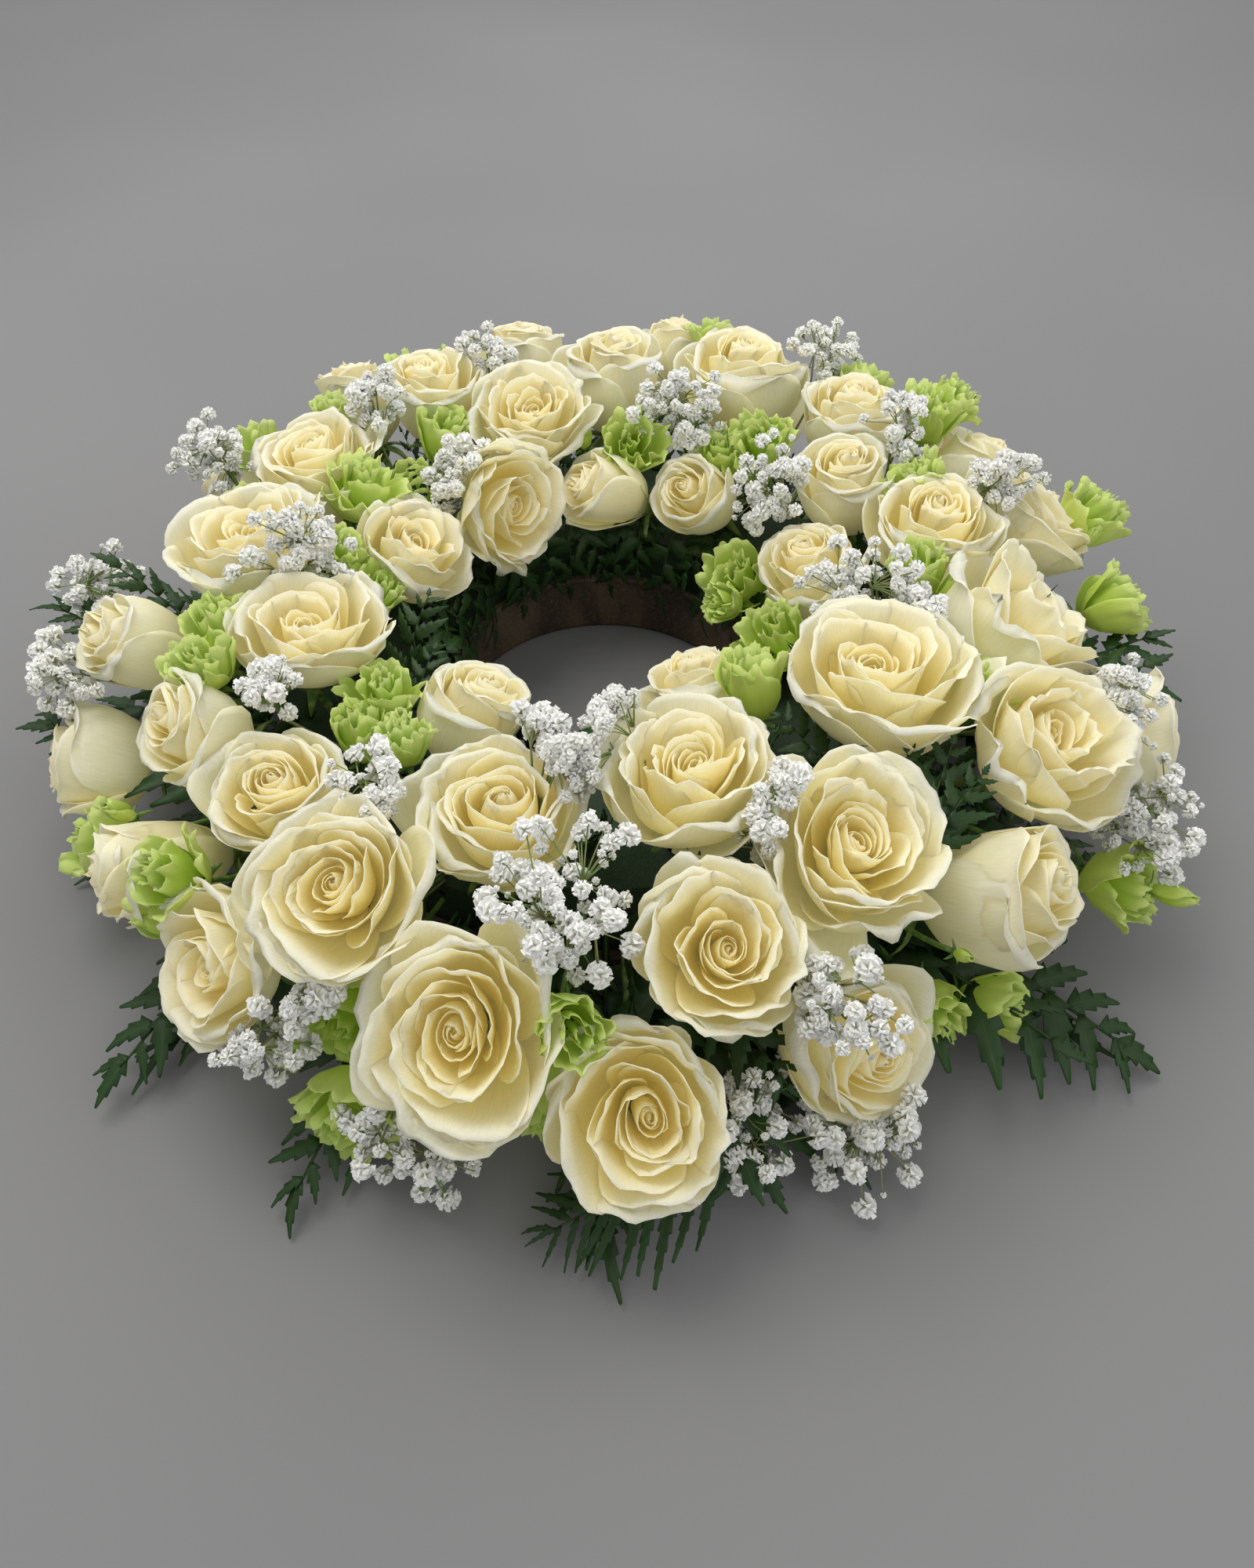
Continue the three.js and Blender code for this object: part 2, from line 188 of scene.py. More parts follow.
def facing(middle: Vector, looks: Vector, turn: float, size: float) -> Matrix:
    """The place of a head: its origin at a point, its +Z along the way that it looks.

    Args:
        middle: Where the head's origin goes.
        looks: The way that the head faces.
        turn: Its turn about its own axis, in radians.
        size: Its scale.
    """
    rotation = looks.normalized().to_track_quat("Z", "Y").to_matrix().to_4x4()
    return Matrix.Translation(middle) @ rotation @ Matrix.Rotation(turn, 4, "Z") @ Matrix.Scale(size, 4)


def above_table(thing: bpy.types.Object, least: float = 0.5 * MM) -> None:
    """Lifts every point that would be lower than a hair's breadth over the table."""
    points = points_of(thing)
    points[:, 2] = np.maximum(points[:, 2], least)
    move_points(thing, points)


def polar(clock: float, radius: float, height: float) -> Vector:
    """A point from its clock angle in degrees, its distance from the middle of the ring and its height."""
    angle = math.radians(clock)
    return Vector((radius * math.cos(angle), radius * math.sin(angle), height))


def smoothstep(low: float, high: float, x: np.ndarray) -> np.ndarray:
    """Rises smoothly from 0 at low to 1 at high."""
    t = np.clip((x - low) / (high - low), 0, 1)
    return t * t * (3 - 2 * t)


def through(stations: np.ndarray, values: np.ndarray, at: np.ndarray) -> np.ndarray:
    """A smooth curve through values at evenly or unevenly spaced stations.

    Args:
        stations: Rising positions of the known values.
        values: The known values, one per station.
        at: The positions wanted.

    Returns:
        The curve's values, by cubic Hermite pieces with the slopes of the neighbours.
    """
    slopes = np.gradient(values, stations)
    index = np.clip(np.searchsorted(stations, at, side="right") - 1, 0, len(stations) - 2)
    span = stations[index + 1] - stations[index]
    t = (at - stations[index]) / span
    t2, t3 = t * t, t * t * t
    return (
        (2 * t3 - 3 * t2 + 1) * values[index]
        + (t3 - 2 * t2 + t) * span * slopes[index]
        + (-2 * t3 + 3 * t2) * values[index + 1]
        + (t3 - t2) * span * slopes[index + 1]
    )


# ---------------------------------------------------------------------------------------------------------
# Flower heads: roses and lisianthus
# ---------------------------------------------------------------------------------------------------------


class Bloom(Enum):
    """How far a head has opened."""

    ROSE_HALF = "half-open rose"
    ROSE_OPEN = "open rose"
    ROSE_FULL = "full-blown rose"
    ROSE_LOOSE = "loose rose"
    LISIANTHUS = "double lisianthus"
    LISIANTHUS_CUP = "cup-shaped lisianthus"
    LISIANTHUS_BUD = "lisianthus bud"


@dataclass(frozen=True)
class HeadForm:
    """The shape of one stage of bloom.

    Attributes:
        sides: The side view of a petal, from its foot to its lip, as (radius, height) shares of the head's
            radius: one row for each whorl, from the heart to the guards.
        petals: How many petals, from the heart to the guards.
        hinge: How far the outermost petals are turned in about their feet, in degrees.
        lip: How strongly the rims roll back.
        wave: The height of the ripples on the rims, as a share of the head's radius.
        folds: How many ripples a rim has.
        heart: How much higher than usual the heart stands, as a share of the radius.
        flat: How straight the petals are across, from 0 on a circle about the axis to 1 on its tangent.
        disorder: How far the petals stray from their even places.
        breadth: Half the breadth of a heart petal and of a guard petal, as shares of the radius.
        across: Faces across a petal of the heart and of the guard.
        along: Faces along a petal of the heart and of the guard.
        sepals: The length of the sepals, as a share of the radius.
        crumple: How much of the ripple the heart's petals keep.
    """

    sides: tuple
    petals: int
    hinge: float
    lip: float
    wave: float
    folds: float
    heart: float
    flat: float
    disorder: float
    breadth: tuple[float, float] = (0.36, 1.02)
    across: tuple[int, int] = (10, 16)
    along: tuple[int, int] = (4, 6)
    sepals: float = 0.44
    crumple: float = 0.45


PETAL_ALONG = np.array([0.0, 0.28, 0.55, 0.82, 0.94, 1.0])
WHORLS = np.array([0.0, 0.16, 0.42, 0.74, 1.0])
CLOSED_SIDES = (  # a high heart, shut like a bud
    ((0.03, -0.60), (0.08, -0.26), (0.10, 0.10), (0.05, 0.38), (0.02, 0.48), (0.00, 0.51)),
    ((0.05, -0.62), (0.16, -0.30), (0.22, 0.08), (0.19, 0.36), (0.16, 0.46), (0.14, 0.50)),
    ((0.08, -0.70), (0.30, -0.42), (0.42, -0.04), (0.44, 0.32), (0.45, 0.42), (0.47, 0.46)),
    ((0.10, -0.84), (0.50, -0.58), (0.70, -0.18), (0.77, 0.18), (0.82, 0.28), (0.87, 0.29)),
    ((0.12, -0.92), (0.62, -0.70), (0.90, -0.34), (0.98, -0.02), (1.03, 0.05), (1.08, 0.01)),
)
CUPPED_SIDES = (  # a sunken heart inside a deep cup
    ((0.03, -0.62), (0.07, -0.38), (0.09, -0.14), (0.06, 0.04), (0.03, 0.11), (0.01, 0.13)),
    ((0.05, -0.64), (0.14, -0.40), (0.20, -0.12), (0.20, 0.10), (0.18, 0.19), (0.17, 0.22)),
    ((0.08, -0.70), (0.28, -0.46), (0.39, -0.14), (0.43, 0.22), (0.45, 0.36), (0.47, 0.41)),
    ((0.10, -0.84), (0.48, -0.62), (0.68, -0.24), (0.76, 0.20), (0.81, 0.37), (0.86, 0.42)),
    ((0.12, -0.92), (0.62, -0.70), (0.90, -0.34), (0.98, 0.02), (1.05, 0.10), (1.12, 0.05)),
)
LISIANTHUS_SIDES = (
    ((0.06, -0.80), (0.12, -0.36), (0.14, 0.05), (0.12, 0.38), (0.11, 0.52), (0.12, 0.60)),
    ((0.08, -0.82), (0.22, -0.42), (0.28, 0.02), (0.30, 0.38), (0.32, 0.54), (0.34, 0.62)),
    ((0.10, -0.84), (0.36, -0.50), (0.50, -0.06), (0.54, 0.32), (0.58, 0.50), (0.62, 0.56)),
    ((0.12, -0.86), (0.50, -0.58), (0.72, -0.14), (0.80, 0.22), (0.86, 0.40), (0.92, 0.44)),
    ((0.14, -0.88), (0.56, -0.66), (0.84, -0.24), (0.95, 0.10), (1.03, 0.24), (1.08, 0.24)),
)

FORMS = {
    Bloom.ROSE_HALF: HeadForm(CLOSED_SIDES, 21, 20, 0.9, 0.013, 2.2, 0.10, 0.25, 1.0),
    Bloom.ROSE_OPEN: HeadForm(CLOSED_SIDES, 26, 9, 1.0, 0.016, 2.3, -0.02, 0.85, 1.3),
    Bloom.ROSE_FULL: HeadForm(CUPPED_SIDES, 29, 0, 1.0, 0.018, 2.4, 0.0, 1.0, 1.4),
    Bloom.ROSE_LOOSE: HeadForm(CUPPED_SIDES, 25, 0, 1.0, 0.023, 2.6, -0.03, 1.0, 1.7),
    Bloom.LISIANTHUS: HeadForm(
        LISIANTHUS_SIDES, 10, 0, 1.0, 0.060, 2.9, 0.0, 0.3, 1.2, (0.50, 0.92), (16, 22), (3, 4), 0.5, 0.8
    ),
    Bloom.LISIANTHUS_CUP: HeadForm(
        LISIANTHUS_SIDES, 9, 14, 0.6, 0.056, 2.8, 0.0, 0.3, 1.1, (0.50, 0.96), (16, 22), (3, 4), 0.5, 0.8
    ),
    Bloom.LISIANTHUS_BUD: HeadForm(
        LISIANTHUS_SIDES, 6, 32, 0.1, 0.030, 2.5, 0.2, 0.1, 0.8, (0.50, 0.75), (8, 10), (3, 4), 0.6, 0.5
    ),
}


@dataclass
class FlowerHead:
    """The petals, the sepals and the hip of one flower, about its own axis.

    Attributes:
        form: The stage of bloom.
        seed: Which individual of that stage.
        radius: The head's radius.
        thickness: The thickness of a petal.
    """

    form: HeadForm
    seed: int
    radius: float = 40 * MM
    thickness: float = 0.30 * MM

    def build(self, name: str) -> bpy.types.Object:
        """Builds the whole head as one mesh."""
        rng = np.random.default_rng(self.seed)
        petals = [self._petal(index, rng) for index in range(self.form.petals)]
        head = joined(petals, name)
        modify(head, "SOLIDIFY", thickness=self.thickness, offset=0.0, use_rim=True)
        head = joined([head, self._calyx(rng)], name)
        smooth(head)
        return head

    def _petal(self, index: int, rng: np.random.Generator) -> bpy.types.Object:
        """One petal, with its masks painted.

        Args:
            index: Its number, from 0 in the heart.
            rng: The head's own stream of random numbers.
        """
        form = self.form
        share = (index / (form.petals - 1)) ** 1.12
        outer = int(share > 0.5)
        sheet, u, v = grid(form.across[outer], form.along[outer])
        foot = 0.30 * (1 - share)  # the hidden foot of an inner petal isn't modelled
        v = foot + (1 - (1 - v) ** 1.35) * (1 - foot)  # with rows closer together towards the rim
        wobble = np.clip(rng.normal(0, form.disorder, 9), -2.5, 2.5)

        # The outline: round shoulders, one higher than the other, and a small point in the middle of the tip.
        round_off = np.clip(0.62 + 0.22 * share + 0.05 * wobble[0], 0.4, 0.98)
        outline = np.sqrt(1 - 0.5 * round_off * np.abs(u) ** (2.4 + 0.3 * wobble[1]))
        outline *= 1 + 0.05 * wobble[2] * u
        outline += 0.03 * share * np.exp(-(((u - 0.10 * wobble[2]) / 0.16) ** 2))
        reach = v * outline
        groups = 0.030 * share**0.5 * math.sin(17.0 * share + self.seed)  # petals lie in groups
        whorl = np.clip(share + groups, 0, 1)
        side = self._side(whorl, np.clip(reach, 0, 1.08), wobble)

        # The wrap about the axis: broad petals close round the heart, and guards cover a third of the ring.
        broad = (form.breadth[0] + (form.breadth[1] - form.breadth[0]) * share) * (1 + 0.07 * wobble[3])
        width = broad * (0.42 + 0.58 * np.sin(np.clip(reach / 0.62, 0, 1) * math.pi / 2))
        half_angle = np.minimum(width / np.maximum(side[:, 0], 0.05), 2.4 - 0.9 * share)
        half_angle *= np.sqrt(1 - 0.5 * round_off * v**3)
        angle = index * GOLDEN_ANGLE + 0.16 * wobble[4] + u * half_angle

        # One edge tucks under its neighbour and the other lies over it; the rim ripples.
        rim = smoothstep(0.5, 1.0, reach)
        straight = 1 / np.cos(np.clip(u * half_angle, -0.72, 0.72)) - 1
        flat = form.flat * (1 + 0.3 * wobble[1]) * smoothstep(0.1, 0.5, np.array([share]))[0]
        radius = side[:, 0] * (1 + flat * straight * smoothstep(0.3, 0.9, reach) * 0.5)
        swirl = smoothstep(0.10, 0.40, np.array([share]))[0] * (1 - 0.45 * share)
        tuck = (0.018 + 0.085 * swirl) * (1 + 0.3 * wobble[6])
        radius += tuck * u * smoothstep(0.1, 0.6, reach)
        radius += 0.05 * share * rim * np.abs(u) ** 3
        turns = math.pi * u * form.folds
        ripple = np.sin(turns + 6 * wobble[5]) + 0.6 * np.sin(1.88 * turns + 6 * wobble[6])
        lift = np.sin(turns + 6 * wobble[5] + 1.9) + 0.6 * np.sin(1.88 * turns + 6 * wobble[6] + 1.2)
        swing = form.wave * (form.crumple + share) * (1 + 0.3 * wobble[0])
        radius += swing * rim * ripple * np.minimum(1, 2.2 * side[:, 0] + 0.15)
        height = side[:, 1] + 0.9 * swing * rim * lift

        # The heart stands a little to one side, and squashed.
        lean = np.array((math.cos(self.seed), math.sin(self.seed)))
        aside = 0.09 * form.disorder * (1 - share) * lean
        plan = np.c_[radius * np.cos(angle), radius * np.sin(angle)]
        squash = 0.24 * smoothstep(0.75, 0.1, np.array([share]))[0]
        plan -= squash * (plan @ lean)[:, None] * lean
        plan += aside * smoothstep(0.1, 0.7, reach)[:, None]
        move_points(sheet, np.c_[plan, height] * self.radius)
        edge = np.maximum(smoothstep(0.90, 1.0, v), smoothstep(0.90, 1.0, np.abs(u)) * rim)
        paint(sheet, "petal", np.c_[np.full_like(v, share), edge, np.clip(reach, 0, 1)])
        return sheet

    def _side(self, share: float, reach: np.ndarray, wobble: np.ndarray) -> np.ndarray:
        """The radius and the height of a petal's surface at each share of its length."""
        sides = np.array(self.form.sides)
        at = np.array([share])
        row = np.array(
            [[through(WHORLS, sides[:, k, axis], at)[0] for axis in (0, 1)] for k in range(len(PETAL_ALONG))]
        )
        row[3:, 1] += self.form.heart * (1 - share) + 0.018 * wobble[0]
        lip = row[4:] - row[3]
        row[4:] = row[3] + lip * np.array([self.form.lip, 1 + 0.6 * (1 - self.form.lip)])
        row[5, 1] -= 0.07 * share**3 * self.form.lip * (1 + 0.5 * wobble[7])
        turn = math.radians(self.form.hinge * share + (1.2 + 2.4 * share**2) * np.clip(wobble[7], -2, 2))
        swung = row - row[0]
        row = row[0] + np.c_[
            swung[:, 0] * math.cos(turn) - swung[:, 1] * math.sin(turn),
            swung[:, 0] * math.sin(turn) + swung[:, 1] * math.cos(turn),
        ]
        return np.c_[through(PETAL_ALONG, row[:, 0], reach), through(PETAL_ALONG, row[:, 1], reach)]

    def _calyx(self, rng: np.random.Generator) -> bpy.types.Object:
        """The hip under the petals, with five sepals that hang back from it."""
        foot = self.form.sides[-1][0][1]
        deselect_all()
        bpy.ops.mesh.primitive_uv_sphere_add(segments=10, ring_count=6, radius=0.17 * self.radius)
        hip = bpy.context.view_layer.objects.active
        points = points_of(hip) * (1, 1, 1.25)
        move_points(hip, points + (0, 0, (foot - 0.04) * self.radius))
        paint(hip, "petal", np.tile((1.0, 0.0, 2.0), (len(points), 1)))
        sepals = []
        for k in range(5):
            sheet, u, v = grid(2, 5)
            bend = rng.uniform(0.2, 1.1)
            out = 0.14 + self.form.sepals * np.sin(v * 1.3)
            drop = foot - 0.30 * bend * v**2 + 0.10 * (1 - bend) * v
            width = 0.10 * (1 - v) ** 0.7 * u
            angle = k * 2 * math.pi / 5 + rng.uniform(-0.15, 0.15)
            across = np.array((-math.sin(angle), math.cos(angle)))
            ray = np.array((math.cos(angle), math.sin(angle)))
            flat = out[:, None] * ray + width[:, None] * across
            move_points(sheet, np.c_[flat, drop - 0.03 * np.abs(u)] * self.radius)
            paint(sheet, "petal", np.tile((1.0, 0.0, 2.0), (len(v), 1)))
            sepals.append(sheet)
        leafy = joined(sepals, "sepals")
        modify(leafy, "SOLIDIFY", thickness=0.6 * MM, offset=0.0)
        return joined([hip, leafy], "calyx")


@dataclass
class Nursery:
    """Grown heads, a few individuals of each stage, kept to be copied.

    Attributes:
        sorts: How many individuals of each stage.
        stray: How far a copy's petals lie from the individual's, as a share of the radius.
        waves: The waves that bend a copy: least and most radians in a radius, and the share of the stray.
    """

    sorts: dict[Bloom, int]
    stray: float = 0.045
    waves: tuple[tuple[float, float, float], ...] = ((1.5, 3.3, 1.0),) * 4 + ((5.0, 8.0, 0.38),) * 3
    heads: dict[Bloom, list[bpy.types.Object]] = field(default_factory=dict)

    def grow(self) -> None:
        """Builds every individual."""
        for number, (bloom, count) in enumerate(self.sorts.items()):
            head = [FlowerHead(FORMS[bloom], seed=40 * number + k + 3) for k in range(count)]
            self.heads[bloom] = [grown.build(f"{bloom.name.lower()}_{k}") for k, grown in enumerate(head)]

    def pick(self, bloom: Bloom, number: int, name: str, place: Matrix) -> bpy.types.Object:
        """Copies an individual to its place, a little slimmer or broader than its siblings, and bent.

        Args:
            bloom: The stage.
            number: Which copy.
            name: Its name.
            place: From the head's coordinates to the wreath's.
        """
        stock = self.heads[bloom]
        rng = np.random.default_rng(1000 + number)
        slim = Matrix.Diagonal((rng.uniform(0.93, 1.05), rng.uniform(0.93, 1.05), rng.uniform(0.94, 1.06), 1))
        head = copied(stock[number % len(stock)], name, Matrix.Identity(4))
        points = points_of(head) / FlowerHead.radius
        drift = np.zeros_like(points)
        for slow, fast, much in self.waves:
            way, wave = rng.normal(0, 1, 3), rng.normal(0, 1, 3)
            wave *= rng.uniform(slow, fast) / np.linalg.norm(wave)
            drift += much * np.sin(points @ wave + rng.uniform(0, 6.28))[:, None] * way / np.linalg.norm(way)
        move_points(head, (points + self.stray * drift) * FlowerHead.radius)
        head.data.transform(place @ slim)
        return head

    def clear(self) -> None:
        """Removes the stock, which is no part of the wreath."""
        for head in (head for stock in self.heads.values() for head in stock):
            bpy.data.objects.remove(head)


def twigs(name: str, runs: list[tuple[list[Vector], float, float]], sides: int = 0) -> bpy.types.Object:
    """Round stems along runs of points, as one mesh.

    Args:
        name: The piece's name.
        runs: For each stem its points, its radius at the first and its radius at the last.
        sides: The bevel resolution: 0 gives four sides and 1 gives six.
    """
    curve = bpy.data.curves.new(name, "CURVE")
    curve.dimensions = "3D"
    curve.bevel_depth = 1.0
    curve.bevel_resolution = sides
    curve.use_fill_caps = True
    for points, thick, thin in runs:
        spline = curve.splines.new("POLY")
        spline.points.add(len(points) - 1)
        for k, (knot, point) in enumerate(zip(spline.points, points)):
            knot.co = (*point, 1)
            knot.radius = thick + (thin - thick) * k / (len(points) - 1)
    thing = bpy.data.objects.new(name, curve)
    bpy.context.scene.collection.objects.link(thing)
    select_only(thing)
    bpy.ops.object.convert(target="MESH")
    made = bpy.context.view_layer.objects.active
    smooth(made)
    return made


def bowed(start: Vector, end: Vector, leave: Vector, steps: int) -> list[Vector]:
    """Points of a curve from start to end that leaves the start along a vector."""
    handle = start + leave
    ts = [k / steps for k in range(steps + 1)]
    return [start * (1 - t) ** 2 + handle * (2 * t * (1 - t)) + end * t**2 for t in ts]


# ---------------------------------------------------------------------------------------------------------
# Finishes
# ---------------------------------------------------------------------------------------------------------

Colour = tuple[float, float, float]


class Recipe:
    """A material in the making: a few short calls that add nodes and join them up."""

    def __init__(self, name: str) -> None:
        """Starts a material with one Principled shader."""
        self.material = bpy.data.materials.new(name)
        self.material.use_nodes = True
        self.nodes = self.material.node_tree.nodes
        self.links = self.material.node_tree.links
        self.shader = self.nodes["Principled BSDF"]

    def node(self, kind: str, **settings: object) -> bpy.types.Node:
        """Adds a node and sets its properties."""
        made = self.nodes.new(kind)
        for key, value in settings.items():
            setattr(made, key, value)
        return made

    def feed(self, socket: bpy.types.NodeSocket, source: object) -> None:
        """Joins a socket to another, or gives it a fixed value."""
        if isinstance(source, bpy.types.NodeSocket):
            self.links.new(source, socket)
        elif isinstance(source, tuple) and len(source) == 3 and socket.type == "RGBA":
            socket.default_value = (*source, 1)
        else:
            socket.default_value = source

    def masks(self, name: str) -> tuple[bpy.types.NodeSocket, ...]:
        """The three numbers of a painted attribute."""
        split = self.node("ShaderNodeSeparateXYZ")
        self.feed(split.inputs[0], self.node("ShaderNodeAttribute", attribute_name=name).outputs["Vector"])
        return tuple(split.outputs)

    def noise(self, vector: bpy.types.NodeSocket, scale: float, detail: float = 2.0) -> bpy.types.NodeSocket:
        """Fractal noise from about 0.3 to 0.7."""
        made = self.node("ShaderNodeTexNoise")
        self.feed(made.inputs["Vector"], vector)
        made.inputs["Scale"].default_value = scale
        made.inputs["Detail"].default_value = detail
        return made.outputs["Fac"]

    def stretched(self, vector: bpy.types.NodeSocket, scale: Colour) -> bpy.types.NodeSocket:
        """Coordinates drawn out by a different amount along each axis."""
        made = self.node("ShaderNodeMapping")
        self.feed(made.inputs["Vector"], vector)
        made.inputs["Scale"].default_value = scale
        return made.outputs["Vector"]

    def coordinates(self, kind: str = "Object") -> bpy.types.NodeSocket:
        """Texture coordinates: Object, or the piece's own UV."""
        return self.node("ShaderNodeTexCoord").outputs[kind]

    def ramp(self, amount: bpy.types.NodeSocket, *stops: tuple[float, Colour]) -> bpy.types.NodeSocket:
        """A colour that changes smoothly along stops of (position, colour)."""
        made = self.node("ShaderNodeValToRGB")
        self.feed(made.inputs["Fac"], amount)
        bar = made.color_ramp
        bar.elements[0].position, bar.elements[0].color = stops[0][0], (*stops[0][1], 1)
        bar.elements[1].position, bar.elements[1].color = stops[-1][0], (*stops[-1][1], 1)
        for position, colour in stops[1:-1]:
            bar.elements.new(position).color = (*colour, 1)
        return made.outputs["Color"]

    def between(self, amount: object, low: float, high: float) -> bpy.types.NodeSocket:
        """0 below low, 1 above high and smooth between them."""
        made = self.node("ShaderNodeMapRange", interpolation_type="SMOOTHSTEP")
        self.feed(made.inputs["Value"], amount)
        made.inputs["From Min"].default_value = low
        made.inputs["From Max"].default_value = high
        return made.outputs["Result"]

    def math(self, operation: str, a: object, b: object) -> bpy.types.NodeSocket:
        """One sum on two numbers."""
        made = self.node("ShaderNodeMath", operation=operation)
        self.feed(made.inputs[0], a)
        self.feed(made.inputs[1], b)
        return made.outputs[0]

    def mix(self, amount: object, a: object, b: object, blend: str = "MIX") -> bpy.types.NodeSocket:
        """Colour b over colour a."""
        made = self.node("ShaderNodeMix", data_type="RGBA", blend_type=blend)
        self.feed(made.inputs["Factor"], amount)
        self.feed(made.inputs[6], a)
        self.feed(made.inputs[7], b)
        return made.outputs[2]

    def bump(self, height: bpy.types.NodeSocket, distance: float, strength: float = 1.0) -> None:
        """Raises the surface by a height."""
        made = self.node("ShaderNodeBump")
        self.feed(made.inputs["Height"], height)
        made.inputs["Distance"].default_value = distance
        made.inputs["Strength"].default_value = strength
        self.feed(self.shader.inputs["Normal"], made.outputs["Normal"])

    def settle(self, colour: object, roughness: object, **sockets: object) -> bpy.types.Material:
        """Sets the shader's colour, roughness and other sockets, and returns the finished material."""
        self.feed(self.shader.inputs["Base Color"], colour)
        self.feed(self.shader.inputs["Roughness"], roughness)
        for name, value in sockets.items():
            self.feed(self.shader.inputs[name.replace("_", " ")], value)
        return self.material


@dataclass(frozen=True)
class PetalFinish:
    """Satin petals: warm in the heart, pale on the rim, with fine veins along them.

    Attributes:
        name: The material's name.
        heart: The colour of the innermost petals.
        cup: The colour of the petals round them.
        guard: The colour of the outermost petals.
        rim: The colour that every petal fades to along its edge.
        foot: The colour that it fades to where it leaves the hip.
        green: The colour of sepals and stem.
        rim_share: How far the edge takes the rim's colour.
        roughness: Of the satin surface.
        glow: How much light the petals pass on inside.
        painted_glow: How strongly the petals give off their deep colour as light of their own: a painted glow
            that lifts their shade.
        blotch: How far patches of the petals fade to the rim's colour.
    """

    name: str
    heart: Colour
    cup: Colour
    guard: Colour
    rim: Colour
    # foot: The colour that it fades to where it leaves the hip, most on the outer petals: painted shade deep in
    # the cup. Sepals and stems are flecked with it too.
    foot: Colour
    green: Colour
    rim_share: float = 0.4
    roughness: float = 0.52
    glow: float = 0.45
    painted_glow: float = 0.050
    blotch: float = 0.10

    def material(self) -> bpy.types.Material:
        """Builds the material."""
        mix = Recipe(self.name)
        share, edge, reach = mix.masks("petal")
        along = mix.coordinates("UV")
        place = mix.coordinates()
        deep = mix.ramp(share, (0.0, self.heart), (0.55, self.cup), (0.95, self.guard))
        fade = mix.ramp(share, (0.0, (0.35,) * 3), (0.8, (0.9,) * 3))
        body = mix.mix(mix.math("MULTIPLY", mix.between(reach, 0.45, 1.0), fade), deep, self.rim)
        body = mix.mix(mix.math("MULTIPLY", edge, self.rim_share), body, self.rim)
        # painted shade: the outer petals darken to the foot colour near the hip, deep in the cup
        low = mix.between(reach, 0.42, 0.08)
        body = mix.mix(mix.math("MULTIPLY", low, mix.math("MULTIPLY", share, 0.8)), body, self.foot)
        blotch = mix.between(mix.noise(place, 55.0, 3.0), 0.35, 0.65)
        body = mix.mix(mix.math("MULTIPLY", blotch, self.blotch), body, self.rim)
        veins = mix.noise(mix.stretched(along, (26.0, 2.4, 1.0)), 3.0, 4.0)
        shade = mix.ramp(veins, (0.30, (0.93, 0.92, 0.86)), (0.62, (1.0, 1.0, 1.0)))
        body = mix.mix(1.0, body, shade, "MULTIPLY")
        leafy = mix.math("GREATER_THAN", reach, 1.5)
        fleck = mix.mix(mix.between(mix.noise(place, 220.0), 0.4, 0.6), self.green, self.foot)
        body = mix.mix(leafy, body, mix.mix(0.25, self.green, fleck))
        mix.bump(veins, 0.00022, 0.5)
        gloss = mix.math("ADD", self.roughness, mix.math("MULTIPLY", veins, 0.16))
        painted_glow_colour = mix.mix(leafy, deep, (0.0, 0.0, 0.0))  # painted glow: the petals' deep colour, given off as light, which lifts their shade
        mix.feed(mix.shader.inputs["Emission Color"], painted_glow_colour)
        return mix.settle(
            body,
            gloss,
            Emission_Strength=self.painted_glow,
            Subsurface_Weight=self.glow,
            Subsurface_Radius=(1.0, 0.8, 0.45),
            Subsurface_Scale=0.005,
            Sheen_Weight=0.04,
            Sheen_Roughness=0.5,
            Specular_IOR_Level=0.35,
        )


ROSE_PETAL = PetalFinish(
    name="cream_rose_petal",
    heart=(0.97, 0.78, 0.24),
    cup=(0.97, 0.83, 0.32),
    guard=(0.93, 0.88, 0.54),
    rim=(0.94, 0.90, 0.69),
    # painted shade deep in the cup, where the petals leave the hip
    foot=(0.64, 0.62, 0.17),
    green=(0.08, 0.17, 0.04),
)

LISIANTHUS_PETAL = PetalFinish(
    name="green_lisianthus_petal",
    heart=(0.27, 0.43, 0.014),
    cup=(0.38, 0.54, 0.035),
    guard=(0.50, 0.65, 0.085),
    rim=(0.62, 0.74, 0.22),
    # painted shade deep in the cup, where the petals leave the hip
    foot=(0.38, 0.56, 0.07),
    green=(0.09, 0.20, 0.045),
    rim_share=0.5,
    roughness=0.5,
    glow=0.25,
    # a faint painted glow that lifts the petals' shade
    painted_glow=0.07,
)


@dataclass(frozen=True)
class LeafFinish:
    """Leathery fern: dark, half glossy, with a paler rib and paler young tips.

    Attributes:
        name: The material's name.
        blade: The colour of the blade.
        young: The colour at the tips.
        rib: The colour of the midrib and of the stalk.
    """

    name: str = "leatherleaf"
    blade: Colour = (0.010, 0.036, 0.008)
    young: Colour = (0.028, 0.085, 0.016)
    rib: Colour = (0.05, 0.10, 0.02)

    def material(self) -> bpy.types.Material:
        """Builds the material."""
        mix = Recipe(self.name)
        middle, tip, tint = mix.masks("leaf")
        place = mix.coordinates()
        body = mix.mix(mix.math("MULTIPLY", tip, 0.55), self.blade, self.young)
        mottle = mix.between(mix.noise(place, 90.0, 3.0), 0.35, 0.65)
        body = mix.mix(mix.math("MULTIPLY", mottle, 0.35), body, self.young)
        body = mix.mix(mix.math("MULTIPLY", mix.between(middle, 0.90, 1.0), 0.45), body, self.rib)
        body = mix.mix(mix.math("MULTIPLY", tint, 0.4), body, (0.026, 0.050, 0.010))
        grain = mix.noise(place, 900.0, 2.0)
        mix.bump(grain, 0.0001, 0.4)
        gloss = mix.math("ADD", 0.36, mix.math("MULTIPLY", grain, 0.22))
        return mix.settle(body, gloss, Specular_IOR_Level=0.32)


